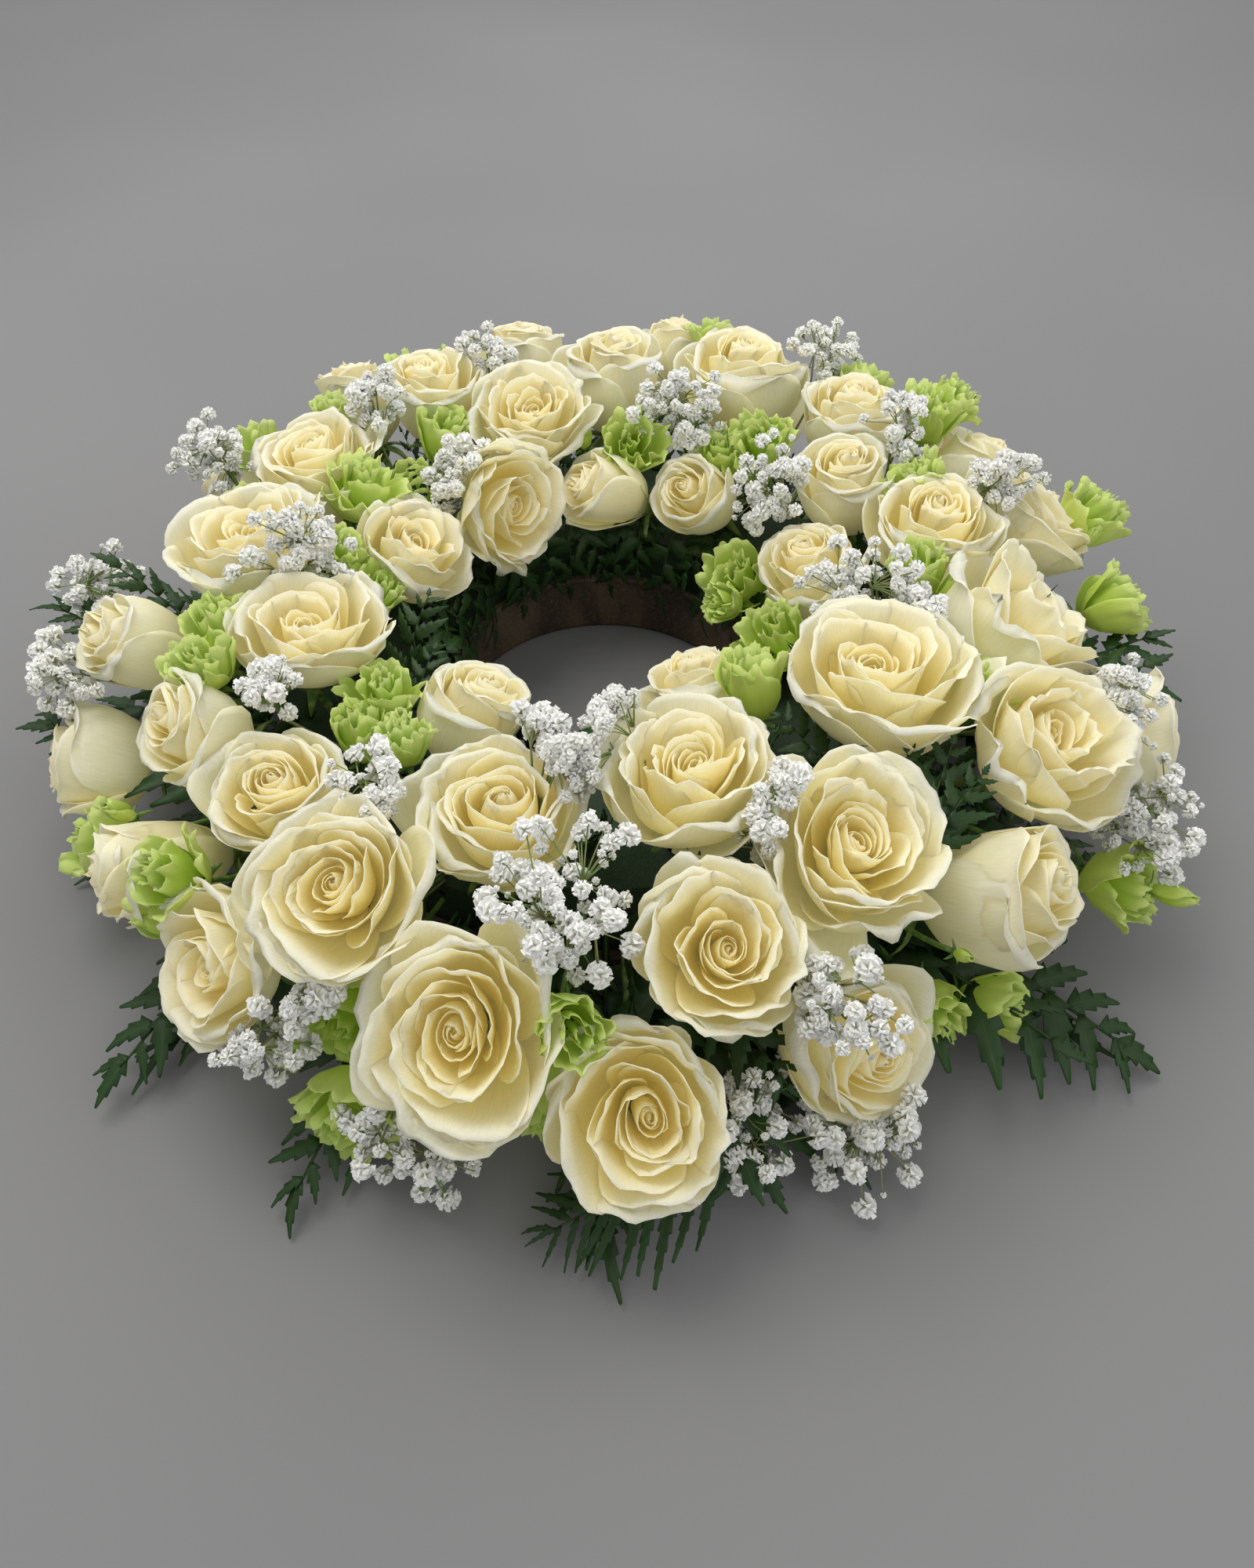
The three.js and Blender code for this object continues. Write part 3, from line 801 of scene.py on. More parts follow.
@dataclass(frozen=True)
class BlossomFinish:
    """Gypsophila: matt white blooms and buds on thin green twigs.

    Attributes:
        name: The material's name.
        white: The colour of the blooms.
        shade: Painted shade: the colour deep between their petals, towards each bloom's middle.
        twig: The colour of the twigs and the calyxes.
    """

    name: str = "gypsophila"
    white: Colour = (0.97, 0.97, 0.95)
    # painted shade deep in the blooms
    shade: Colour = (0.80, 0.82, 0.70)
    twig: Colour = (0.20, 0.30, 0.09)

    def material(self) -> bpy.types.Material:
        """Builds the material."""
        mix = Recipe(self.name)
        bloom, outer, _ = mix.masks("blossom")
        place = mix.coordinates()
        # painted shade: each bloom darkens towards its middle, deep between its petals
        petal = mix.mix(mix.between(outer, 0.35, 0.85), self.shade, self.white)
        fleck = mix.between(mix.noise(place, 700.0, 2.0), 0.4, 0.6)
        petal = mix.mix(mix.math("MULTIPLY", fleck, 0.12), petal, (0.80, 0.82, 0.72))
        twig = mix.mix(mix.between(mix.noise(place, 120.0), 0.35, 0.65), self.twig, (0.30, 0.30, 0.14))
        body = mix.mix(mix.math("GREATER_THAN", bloom, 0.5), twig, petal)
        mix.bump(fleck, 0.0001, 0.3)
        return mix.settle(body, 0.72, Specular_IOR_Level=0.3)


@dataclass(frozen=True)
class FoamFinish:
    """Wet floral foam: dark green, with fine open cells.

    Attributes:
        name: The material's name.
        wall: The colour between the cells.
        cell: The colour inside them.
    """

    name: str = "floral_foam"
    wall: Colour = (0.020, 0.052, 0.016)
    cell: Colour = (0.007, 0.020, 0.006)

    def material(self) -> bpy.types.Material:
        """Builds the material."""
        mix = Recipe(self.name)
        place = mix.coordinates()
        cells = mix.noise(place, 1400.0, 2.0)
        damp = mix.between(mix.noise(place, 30.0, 3.0), 0.35, 0.65)
        body = mix.mix(mix.between(cells, 0.35, 0.6), self.cell, self.wall)
        body = mix.mix(mix.math("MULTIPLY", damp, 0.4), body, self.cell)
        mix.bump(cells, 0.0006, 0.8)
        return mix.settle(body, mix.math("SUBTRACT", 0.95, mix.math("MULTIPLY", damp, 0.25)))


@dataclass(frozen=True)
class FibreFinish:
    """Moulded wood fibre: brown, felted, damp in streaks where water has run.

    Attributes:
        name: The material's name.
        dry: The colour where it is dry.
        damp: The colour of the streaks.
        fibre: The colour of the loose fibres on it.
    """

    name: str = "moulded_wood_fibre"
    dry: Colour = (0.155, 0.107, 0.066)
    damp: Colour = (0.055, 0.037, 0.024)
    fibre: Colour = (0.26, 0.19, 0.12)

    def material(self) -> bpy.types.Material:
        """Builds the material."""
        mix = Recipe(self.name)
        place = mix.coordinates()
        felt = mix.noise(mix.stretched(place, (1.0, 1.0, 2.6)), 420.0, 4.0)
        streak = mix.between(mix.noise(mix.stretched(place, (1.0, 1.0, 0.25)), 38.0, 3.0), 0.38, 0.62)
        body = mix.mix(streak, self.dry, self.damp)
        body = mix.mix(mix.math("MULTIPLY", mix.between(felt, 0.5, 0.72), 0.55), body, self.fibre)
        mix.bump(felt, 0.0005, 0.8)
        return mix.settle(body, mix.math("SUBTRACT", 0.92, mix.math("MULTIPLY", streak, 0.25)))


@dataclass(frozen=True)
class Finishes:
    """Every material of the wreath, made once."""

    rose: bpy.types.Material
    lisianthus: bpy.types.Material
    leaf: bpy.types.Material
    blossom: bpy.types.Material
    foam: bpy.types.Material
    fibre: bpy.types.Material

    @classmethod
    def made(cls) -> "Finishes":
        """Builds them all."""
        return cls(
            rose=ROSE_PETAL.material(),
            lisianthus=LISIANTHUS_PETAL.material(),
            leaf=LeafFinish().material(),
            blossom=BlossomFinish().material(),
            foam=FoamFinish().material(),
            fibre=FibreFinish().material(),
        )


def dress(piece: bpy.types.Object, material: bpy.types.Material) -> None:
    """Gives a piece one material all over."""
    piece.data.materials.clear()
    piece.data.materials.append(material)


def hand_over(piece: bpy.types.Object, slot: str, *nodes: str) -> None:
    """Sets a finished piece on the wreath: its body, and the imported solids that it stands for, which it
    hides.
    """
    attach(piece, "root")
    if nodes:
        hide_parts(*nodes)


# ---------------------------------------------------------------------------------------------------------
# The frame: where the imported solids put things
# ---------------------------------------------------------------------------------------------------------


DOME_OUT = 1.313  # the dome's circle over the middle of the tray's
DOME_UP = 0.69  # its height over the top of the foam's
DOME_WIDTH = 0.64  # half its section's width, as a share of what is left outside the circle
DOME_RISE = 0.77  # the section's rise over half its width


@dataclass(frozen=True)
class Ring:
    """The round of the wreath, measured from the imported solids.

    Attributes:
        core: The radius and the height of the circle through the middle of the foam.
        tray: The inner and the outer radius of the tray.
        dome: The radius and the height of the circle that the heads stand round.
        spread: Half the width of the dome's section, and its rise above that circle.
        reach: From the middle of the ring to the longest tips.
    """

    core: tuple[float, float]
    tray: tuple[float, float]
    dome: tuple[float, float]
    spread: tuple[float, float]
    reach: float

    @classmethod
    def measured(cls) -> "Ring":
        """Reads the sizes off the tray, the foam and the whole."""
        tray = points_of(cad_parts["tray"])
        away = np.hypot(tray[:, 0], tray[:, 1])
        foam_low, foam_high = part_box("foam_ring")
        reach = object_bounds()[1].x
        middle = (away.min() + away.max()) / 2
        dome = (middle * DOME_OUT, foam_high.z * DOME_UP)
        half_width = (reach - dome[0]) * DOME_WIDTH
        return cls(
            core=(middle, (foam_low.z + foam_high.z) / 2),
            tray=(away.min(), away.max()),
            dome=dome,
            spread=(half_width, half_width * DOME_RISE),
            reach=reach,
        )

    def depth(self, point: Vector) -> float:
        """How far a point is from the circle through the middle of the foam."""
        return math.hypot(math.hypot(point.x, point.y) - self.core[0], point.z - self.core[1])

    def on_dome(self, clock: float, lane: float, out: float = 0.0) -> Vector:
        """A point on the dome, or some way out from it.

        Args:
            clock: The angle round the ring, in degrees.
            lane: The angle round the section: 0 looks straight out, 90 is the crown, 150 hangs over the hole.
            out: The distance out from the dome.
        """
        turn = math.radians(lane)
        radius = self.dome[0] + (self.spread[0] + out) * math.cos(turn)
        return polar(clock, radius, self.dome[1] + (self.spread[1] + out) * math.sin(turn))

    def outwards(self, clock: float, lane: float) -> Vector:
        """The way out of the dome at a place on it."""
        return (self.on_dome(clock, lane, 0.01) - self.on_dome(clock, lane)).normalized()

    def in_foam(self, towards: Vector, share: float) -> Vector:
        """A point between the middle of the foam, at a point's own clock angle, and that point."""
        clock = math.degrees(math.atan2(towards.y, towards.x))
        return polar(clock, *self.core).lerp(towards, share)


# A rose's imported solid.
FAN = 10  # faces round its tip, at its foot and in its heart
WAIST = (0.98, 0.10)  # its widest ring: the radius, and the way below the head's middle, over the head's radius
STEM = 45 * MM  # the least way from the heart back to the stem


@dataclass(frozen=True)
class Perch:
    """Where a head sits.

    Attributes:
        middle: The middle of the head.
        looks: The way that it faces.
        radius: Its radius.
        foot: Where its stem ends in the foam.
    """

    middle: Vector
    looks: Vector
    radius: float
    foot: Vector

    @classmethod
    def read(cls, node: str, ring: Ring) -> "Perch":
        """Reads a rose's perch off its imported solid: its foot, its heart and its widest ring."""
        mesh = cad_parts[node].data
        mesh.calc_loop_triangles()
        faces = [
            ([tuple(round(x, 6) for x in mesh.vertices[i].co) for i in face.vertices], face.normal.copy())
            for face in mesh.loop_triangles
        ]
        uses = Counter(corner for corners, _ in faces for corner in corners)
        tips = [Vector(corner) for corner, count in uses.items() if count == FAN]
        foot, heart = sorted(tips, key=ring.depth)
        looks = Vector()
        for corners, normal in faces:
            if any((heart - Vector(corner)).length < 0.01 * MM for corner in corners):
                looks += normal
        looks.normalize()
        offset = points_of(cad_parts[node]) - np.array(heart)
        along = offset @ np.array(looks)
        away = np.linalg.norm(offset - along[:, None] * np.array(looks), axis=1)
        away[along < -STEM] = 0
        widest = int(away.argmax())
        radius = away[widest] / WAIST[0]
        return cls(heart + looks * (along[widest] + WAIST[1] * radius), looks, radius, foot)


def gathered(node: str, guess: Vector, radius: float) -> Vector:
    """The middle of one head in a spray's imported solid, from a guess nearby."""
    points = points_of(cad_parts[node])
    middle = np.array(guess)
    for _ in range(12):
        near = points[np.linalg.norm(points - middle, axis=1) < 1.3 * radius]
        if len(near) == 0:
            return guess
        middle = near.mean(axis=0)
    return Vector(middle)


# ---------------------------------------------------------------------------------------------------------
# Roses
# ---------------------------------------------------------------------------------------------------------

F, O, H, L = Bloom.ROSE_FULL, Bloom.ROSE_OPEN, Bloom.ROSE_HALF, Bloom.ROSE_LOOSE


@dataclass
class Roses:
    """The cream roses, one for each packed rose.

    Attributes:
        ring: The round of the wreath.
        nursery: The grown heads.
        finish: The petals' material.
        stages: The stage of bloom of rose_01, rose_02 and so on.
        stem: The radius of a stem.
        fullness: The size of a head's petals over that of its solid.
    """

    ring: Ring
    nursery: Nursery
    finish: bpy.types.Material
    stages: tuple[Bloom, ...] = (
        (O, H, O, O, H, O, O, F, F, O)
        + (O, F, F, L, O, H, H, F, F, F)
        + (H, O, O, H, H, H, H, H, H, F)
        + (F, F, H, L, H, H, F, F, F, O)
        + (H, H, O, H)
    )
    stem: float = 2.5 * MM
    fullness: dict[Bloom, float] = field(
        default_factory=lambda: {
            Bloom.ROSE_HALF: 1.22,
            Bloom.ROSE_OPEN: 1.09,
            Bloom.ROSE_FULL: 1.0,
            Bloom.ROSE_LOOSE: 1.05,
        }
    )
    perches: dict[str, Perch] = field(default_factory=dict)

    def read(self) -> None:
        """Reads every perch."""
        for number in range(1, len(self.stages) + 1):
            node = f"rose_{number:02d}"
            self.perches[node] = Perch.read(node, self.ring)

    def build(self) -> list[bpy.types.Object]:
        """Plants a head and its stem on every perch."""
        made = []
        for number, (node, perch) in enumerate(self.perches.items()):
            size = perch.radius / FlowerHead.radius * self.fullness[self.stages[number]]
            place = facing(perch.middle, perch.looks, number * GOLDEN_ANGLE, size)
            head = self.nursery.pick(self.stages[number], number, "head", place)
            neck = perch.middle - perch.looks * 0.70 * perch.radius
            run = bowed(neck, perch.foot, -perch.looks * 0.4 * (neck - perch.foot).length, 6)
            stem = twigs("stem", [(run, self.stem * 0.9, self.stem)], 1)
            paint(stem, "petal", np.tile((1.0, 0.0, 2.0), (len(stem.data.vertices), 1)))
            rose = joined([head, stem], f"{node}_bloom")
            dress(rose, self.finish)
            hand_over(rose, "rose_petal", node)
            made.append(rose)
        log.info("%d roses", len(made))
        return made


# ---------------------------------------------------------------------------------------------------------
# Lisianthus
# ---------------------------------------------------------------------------------------------------------


@dataclass(frozen=True)
class Spray:
    """One spray of lisianthus.

    Attributes:
        heads: Each head's clock angle, lane, width in millimetres and distance out from the dome.
        node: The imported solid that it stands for, if it has one.
    """

    heads: tuple[tuple[float, float, float, float], ...]
    node: str = ""


SPRAYS = (
    Spray(((245, 2, 42, 4), (247, -16, 44, 14), (240, -8, 26, 2)), "lisianthus_01"),
    Spray(((264, -8, 40, 0), (269, -20, 28, 6)), "lisianthus_02"),
    Spray(((301, 2, 35, 4), (309, -8, 36, 6)), "lisianthus_03"),
    Spray(((327, 0, 41, 14), (327, 4, 22, 44)), "lisianthus_04"),
    Spray(((34, 56, 42, 12),), "lisianthus_05"),
    Spray(((20, 156, 42, 0), (11, 160, 26, 4)), "lisianthus_06"),
    Spray(((141, 112, 42, 0), (149, 118, 22, 0)), "lisianthus_07"),
    Spray(((228, 88, 36, 4), (237, 96, 28, 4), (222, 108, 33, 2)), "lisianthus_08"),
    Spray(((121, 54, 36, 6), (116, 55, 20, 8))),
    Spray(((149, 46, 34, 6), (141, 70, 33, 6))),
    Spray(((171, 81, 40, 4), (158, 106, 44, 4))),
    Spray(((130, 106, 44, 2), (125, 118, 14, 6))),
    Spray(((85, 133, 41, 0), (96, 121, 20, 2))),
    Spray(((74, 57, 30, 8), (69, 56, 32, 6))),
    Spray(((48, 114, 44, 4), (57, 121, 33, 2))),
    Spray(((48, 52, 40, 8), (35, 50, 34, 30))),
    Spray(((18, 87, 38, 4), (12, 36, 42, 12), (9, 35, 20, 20))),
    Spray(((353, 99, 38, 4), (347, 90, 24, 4))),
    Spray(((0, 28, 42, 14),)),
    Spray(((341, 145, 38, 0),)),
    Spray(((179, 112, 30, 4), (190, 123, 31, 2))),
    Spray(((199, 78, 40, 4), (208, 70, 36, 4))),
    Spray(((329, 74, 34, 2),)),
    Spray(((304, 122, 41, 4),)),
    Spray(((209, 3, 36, 4), (213, 28, 24, 4))),
    Spray(((225, 33, 38, 6), (225, 17, 24, 4))),
    Spray(((266, 34, 38, 6),)),
    Spray(((303, 29, 14, 10),)),
)


@dataclass
class Lisianthus:
    """The green lisianthus, in sprays of one to three heads.

    Attributes:
        ring: The round of the wreath.
        nursery: The grown heads.
        finish: The petals' material.
        perches: The roses' perches, which the heads stay clear of.
        stem: The radius of a stem.
        bud_width: The widest head that is still a bud.
        press: How near a head's middle comes to a rose's, as shares of the rose's radius and of its own.
    """

    ring: Ring
    nursery: Nursery
    finish: bpy.types.Material
    perches: list[Perch]
    stem: float = 1.7 * MM
    bud_width: float = 24 * MM
    press: tuple[float, float] = (0.80, 0.62)

    def build(self) -> list[bpy.types.Object]:
        """Plants every spray."""
        made = []
        for number, spray in enumerate(SPRAYS):
            rng = np.random.default_rng(300 + number)
            parts, runs = [], []
            fork = None
            for clock, lane, wide, out in spray.heads:
                radius = wide * MM / 2
                looks = (self.ring.outwards(clock, lane) + Vector((0, 0, 0.45))).normalized()
                looks = (looks + Vector(rng.normal(0, 0.16, 3))).normalized()
                spot = self.ring.on_dome(clock, lane, out * MM)
                if spray.node:
                    spot = gathered(spray.node, spot, radius)
                else:
                    spot = self._clear(spot, radius, self.ring.outwards(clock, lane))
                bloom = Bloom.LISIANTHUS if rng.random() < 0.65 else Bloom.LISIANTHUS_CUP
                if 2 * radius <= self.bud_width:
                    bloom = Bloom.LISIANTHUS_BUD
                size = radius / FlowerHead.radius * 1.2
                place = facing(spot, looks, rng.uniform(0, 6.28), size)
                parts.append(self.nursery.pick(bloom, 7 * number + len(parts), "bell", place))
                neck = spot - looks * 0.95 * radius
                if fork is None:
                    root = self.ring.in_foam(spot, 0.25)
                    fork = root.lerp(neck, 0.45)
                    runs.append((bowed(root, fork, (fork - root) * 0.4, 3), self.stem, self.stem))
                run = bowed(neck, fork, -looks * 0.5 * (neck - fork).length, 6)
                runs.append((run, self.stem * 0.75, self.stem))
            stems = twigs("stems", runs, 1)
            paint(stems, "petal", np.tile((1.0, 0.0, 2.0), (len(stems.data.vertices), 1)))
            whole = joined([*parts, stems], f"lisianthus_spray_{number + 1:02d}")
            dress(whole, self.finish)
            hand_over(whole, "lisianthus_petal", *filter(None, [spray.node]))
            made.append(whole)
        log.info("%d sprays of lisianthus", len(made))
        return made

    def _clear(self, spot: Vector, radius: float, out: Vector) -> Vector:
        """Moves a head out from the dome until it sits between the roses rather than inside one."""
        for _ in range(12):
            depths = [
                self.press[0] * perch.radius + self.press[1] * radius - (spot - perch.middle).length
                for perch in self.perches
            ]
            worst = int(np.argmax(depths))
            if depths[worst] <= 0:
                break
            away = (spot - self.perches[worst].middle).normalized()
            spot = spot + (out * 0.7 + away * 0.6) * min(depths[worst], 4 * MM)
        return spot


# ---------------------------------------------------------------------------------------------------------
# Gypsophila
# ---------------------------------------------------------------------------------------------------------

# Each cloud: its clock angle, its lane, its width in millimetres and the node that it stands for.
CLOUDS = (
    (267, 66, 70, "gypsophila_01"),
    (289, 44, 46, "gypsophila_02"),
    (256, -16, 52, "gypsophila_03"),
    (285, -18, 58, "gypsophila_04"),
    (112, 80, 36, ""),
    (139, 90, 38, ""),
    (159, 57, 46, ""),
    (138, 129, 55, ""),
    (70, 115, 60, ""),
    (32, 124, 54, ""),
    (55, 55, 46, ""),
    (29, 83, 40, ""),
    (12, 69, 44, ""),
    (191, 98, 60, ""),
    (178, 29, 46, ""),
    (193, 33, 46, ""),
    (339, 111, 56, ""),
    (334, 92, 28, ""),
    (219, 82, 30, ""),
    (241, 77, 36, ""),
    (260, 90, 50, ""),
    (275, 97, 52, ""),
    (331, 16, 58, ""),
    (336, 45, 50, ""),
    (241, 13, 42, ""),
    (292, -16, 58, ""),
    (290, 74, 44, ""),
    (252, -4, 40, ""),
    (245, 33, 24, ""),
)


@dataclass
class Gypsophila:
    """Clouds of baby's breath: a few dozen small double blooms on forking twigs.

    Attributes:
        ring: The round of the wreath.
        finish: The blooms' material.
        perches: The roses' perches, which the blooms stay clear of.
        bloom: The radius of the smallest and of the largest bloom.
        twig: The radius of a twig at the bloom and at the fork.
        crowd: Blooms for each millimetre of a cloud's width.
        petals: Petals in a bloom.
        spread: The width of a cloud over that of its row.
        buds: The share of the blooms that are still buds.
        inside: Within this share of a rose's radius no bloom stands.
        before: How far ahead of a rose's face no bloom stands, and how wide, as a share of the radius.
        lowest: The least height of a bloom's middle over the table.
    """

    ring: Ring
    finish: bpy.types.Material
    perches: list[Perch]
    bloom: tuple[float, float] = (3.3 * MM, 5.9 * MM)
    twig: tuple[float, float] = (0.34 * MM, 0.9 * MM)
    crowd: float = 0.93
    petals: int = 26
    spread: float = 1.16
    buds: float = 0.18
    inside: float = 0.93
    before: tuple[float, float] = (55 * MM, 0.72)
    lowest: float = 9 * MM
    masters: list[bpy.types.Object] = field(default_factory=list)

    def grow(self) -> None:
        """Builds four blooms, to be copied; a bud is a small copy."""
        self.masters = [self._pompom(f"pompom_{k}", np.random.default_rng(70 + k)) for k in range(4)]

    def _pompom(self, name: str, rng: np.random.Generator) -> bpy.types.Object:
        """One bloom of unit radius: a ball of narrow petals that stand out from a small green cup."""
        petals = []
        for k in range(self.petals):
            deselect_all()
            bpy.ops.mesh.primitive_cone_add(vertices=3, radius1=0.0, radius2=0.36, depth=1.0)
            petal = bpy.context.view_layer.objects.active
            length = rng.uniform(0.82, 1.12)
            points = (points_of(petal) + (0, 0, 0.5)) * (1.15, 0.55, length)
            roll = Matrix.Rotation(rng.uniform(0, 6.28), 4, "Z")
            tip = math.acos(1 - 1.62 * (k + 0.5) / self.petals)
            lean = Matrix.Rotation(tip + rng.uniform(-0.1, 0.1), 4, "Y")
            turn = Matrix.Rotation(k * GOLDEN_ANGLE, 4, "Z")
            move_points(petal, points)
            petal.data.transform(Matrix.Translation((0, 0, 0.18)) @ turn @ lean @ roll)
            petals.append(petal)
        whole = joined(petals, name)
        # the distance from the bloom's middle, which the finish turns into painted shade between the petals
        outer = np.linalg.norm(points_of(whole), axis=1)
        paint(whole, "blossom", np.c_[np.ones_like(outer), outer, np.zeros_like(outer)])
        deselect_all()
        low = (0, 0, -0.2)
        bpy.ops.mesh.primitive_cone_add(vertices=4, radius1=0.10, radius2=0.34, depth=0.5, location=low)
        cup = bpy.context.view_layer.objects.active
        cup.data.transform(Matrix.Translation(cup.location))
        cup.location = (0, 0, 0)
        paint(cup, "blossom", np.zeros((len(cup.data.vertices), 3)))
        return joined([whole, cup], name)

    def build(self) -> list[bpy.types.Object]:
        """Plants every cloud."""
        made = []
        for number, (clock, lane, wide, node) in enumerate(CLOUDS):
            rng = np.random.default_rng(500 + number)
            out = self.ring.outwards(clock, lane)
            middle = self.ring.on_dome(clock, lane, 16 * MM)
            if node:
                middle = gathered(node, middle, wide * MM / 2)
            parts, runs = [], []
            radius = wide * MM / 2 * self.spread
            root = self.ring.in_foam(middle, 0.2)
            fork = middle - out * radius * 1.3
            runs.append((bowed(root, fork, (fork - root) * 0.4, 4), 1.3 * self.twig[1], self.twig[1]))
            limbs = [self._twig(rng, middle, out, radius * 0.45, [fork])[1] for _ in range(3 + wide // 15)]
            for limb in limbs:
                runs.append((bowed(fork, limb, out * radius * 0.3, 3), self.twig[1], self.twig[1] * 0.6))
            for _ in range(round(wide * self.crowd * (0.6 + wide / 100))):
                start, tip = self._twig(rng, middle, out, radius, limbs)
                looks = ((tip - start).normalized() + out * 0.6 + Vector(rng.normal(0, 0.2, 3))).normalized()
                size = rng.uniform(*self.bloom)
                run = bowed(start, tip - looks * size * 0.4, out * 4 * MM, 3)
                runs.append((run, self.twig[0] * 1.4, self.twig[0]))
                if rng.random() < self.buds:
                    size *= 0.42
                master = self.masters[int(rng.integers(len(self.masters)))]
                parts.append(copied(master, "bloom", facing(tip, looks, rng.uniform(0, 6.28), size)))
            stems = twigs("stems", runs)
            paint(stems, "blossom", np.zeros((len(stems.data.vertices), 3)))
            whole = joined([*parts, stems], f"gypsophila_cloud_{number + 1:02d}")
            above_table(whole)
            dress(whole, self.finish)
            hand_over(whole, "gypsophila_bloom", *filter(None, [node]))
            made.append(whole)
        for master in self.masters:
            bpy.data.objects.remove(master)
        log.info("%d clouds of gypsophila", len(made))
        return made

    def _twig(
        self, rng: np.random.Generator, middle: Vector, out: Vector, radius: float, starts: list[Vector]
    ) -> tuple[Vector, Vector]:
        """A twig that no rose is in the way of, if that can be.

        Args:
            rng: The cloud's own stream of random numbers.
            middle: The middle of the cloud.
            out: The way out of the dome.
            radius: The cloud's radius.
            starts: Where the twig may start.

        Returns:
            Its start and its tip.
        """
        for _ in range(8):
            tip = self._tip(rng, middle, out, radius)
            start = min(starts, key=lambda place: (place - tip).length)
            if not any(self._hides(start.lerp(tip, 0.6), perch) for perch in self.perches):
                break
        return start, tip

    def _tip(self, rng: np.random.Generator, middle: Vector, out: Vector, radius: float) -> Vector:
        """A place in the cloud's ball that no rose fills.

        Args:
            rng: The cloud's own stream of random numbers.
            middle: The middle of the cloud.
            out: The way out of the dome.
            radius: The cloud's radius.
        """
        tip = middle
        for _ in range(30):
            way = Vector(rng.normal(0, 1, 3)).normalized()
            tip = middle + (way * rng.uniform(0.35, 1.0) + out * 0.15) * radius
            if tip.z > self.lowest and not any(self._hides(tip, perch) for perch in self.perches):
                return tip
        tip = tip + out * radius * 0.3
        tip.z = max(tip.z, self.lowest)
        return tip

    def _hides(self, tip: Vector, perch: Perch) -> bool:
        """Whether a bloom at this tip would be inside a rose or in front of its face."""
        offset = tip - perch.middle
        ahead = offset.dot(perch.looks)
        aside = (offset - perch.looks * ahead).length
        depth, wide = self.before
        in_front = 0 < ahead < depth and aside < wide * perch.radius
        return offset.length < self.inside * perch.radius or in_front


# ---------------------------------------------------------------------------------------------------------
# Fern
# ---------------------------------------------------------------------------------------------------------


@dataclass
class Frond:
    """A flat frond of unit length, its stalk along +Y, with toothed leaflets to left and right in turn.

    Attributes:
        pairs: Pairs of leaflets.
        teeth: Teeth on each side of the longest leaflet.
        breadth: The length of the longest leaflet.
        slender: The breadth of a leaflet over its length.
        bare: How much of the stalk carries no leaflets.
        seed: Which individual.
    """

    pairs: int = 7
    teeth: int = 6
    breadth: float = 0.30
    slender: float = 0.42
    bare: float = 0.16
    seed: int = 0

    def build(self, name: str) -> bpy.types.Object:
        """Builds the leaflets and the stalk as one mesh."""
        rng = np.random.default_rng(self.seed)
        leaflets = []
        for k in range(self.pairs):
            share = k / self.pairs
            at = self.bare + (0.93 - self.bare) * share
            step = (0.93 - self.bare) / self.pairs
            reach = self.breadth * (1 - share) ** 0.6 * (0.80 + 0.20 * min(1.0, 4 * share)) + 0.04
            for side in (-1, 1):
                spread = side * (math.radians(62 - 22 * share) + rng.uniform(-0.12, 0.12))
                start = at + 0.22 * step * side + rng.uniform(-0.006, 0.006)
                teeth = max(4, round(self.teeth * reach / (self.breadth + 0.04)))
                leaflets.append(self._leaflet(rng, start, reach * rng.uniform(0.88, 1.08), spread, teeth))
        leaflets.append(self._leaflet(rng, 0.86, 0.15, 0.0, 4))
        blades = joined(leaflets, name)
        modify(blades, "SOLIDIFY", thickness=0.0038, offset=0.0)
        stalk = twigs("stalk", [([Vector((0, t / 8 * 0.9, -0.002)) for t in range(9)], 0.010, 0.004)])
        paint(stalk, "leaf", np.tile((1.0, 0.3, 0.5), (len(stalk.data.vertices), 1)))
        whole = joined([blades, stalk], name)
        smooth(whole)
        return whole

    def _leaflet(
        self, rng: np.random.Generator, at: float, reach: float, spread: float, teeth: int
    ) -> bpy.types.Object:
        """One leaflet, with teeth that point to its tip.

        Args:
            rng: The frond's own stream of random numbers.
            at: Where it leaves the stalk.
            reach: Its length.
            spread: Its turn away from the stalk, in radians.
            teeth: Teeth on each side.
        """
        sheet, u, v = grid(2, 2 * teeth)
        row = np.rint(v * 2 * teeth)
        point = row % 2
        v = (row + 0.85 * point * np.abs(u)) / (2 * teeth)
        full = np.minimum(1.0, 0.25 + v / 0.22) * np.clip(1.02 - v**1.4, 0, 1) ** 0.85
        notched = np.where(point > 0, 1.12, 0.62)
        x = u * reach * (0.5 * self.slender * rng.uniform(0.88, 1.12) * full * notched + 0.008)
        y = reach * v
        sweep = rng.uniform(-0.10, 0.28)
        fall = reach * (-0.20 * v**2 * rng.uniform(0.2, 1.4) + 0.05 * np.abs(u) * full)
        fall += 0.012 * reach * np.sin(v * 9 + 6 * rng.random()) * u
        turned = spread - math.copysign(sweep, spread) * v
        px = x * np.cos(turned) + y * np.sin(turned)
        py = -x * np.sin(turned) + y * np.cos(turned)
        roll = rng.uniform(-0.35, 0.35)
        move_points(sheet, np.c_[px, py + at, fall + roll * x])
        paint(sheet, "leaf", np.c_[1 - np.abs(u), v, np.full_like(v, rng.random())])
        return sheet


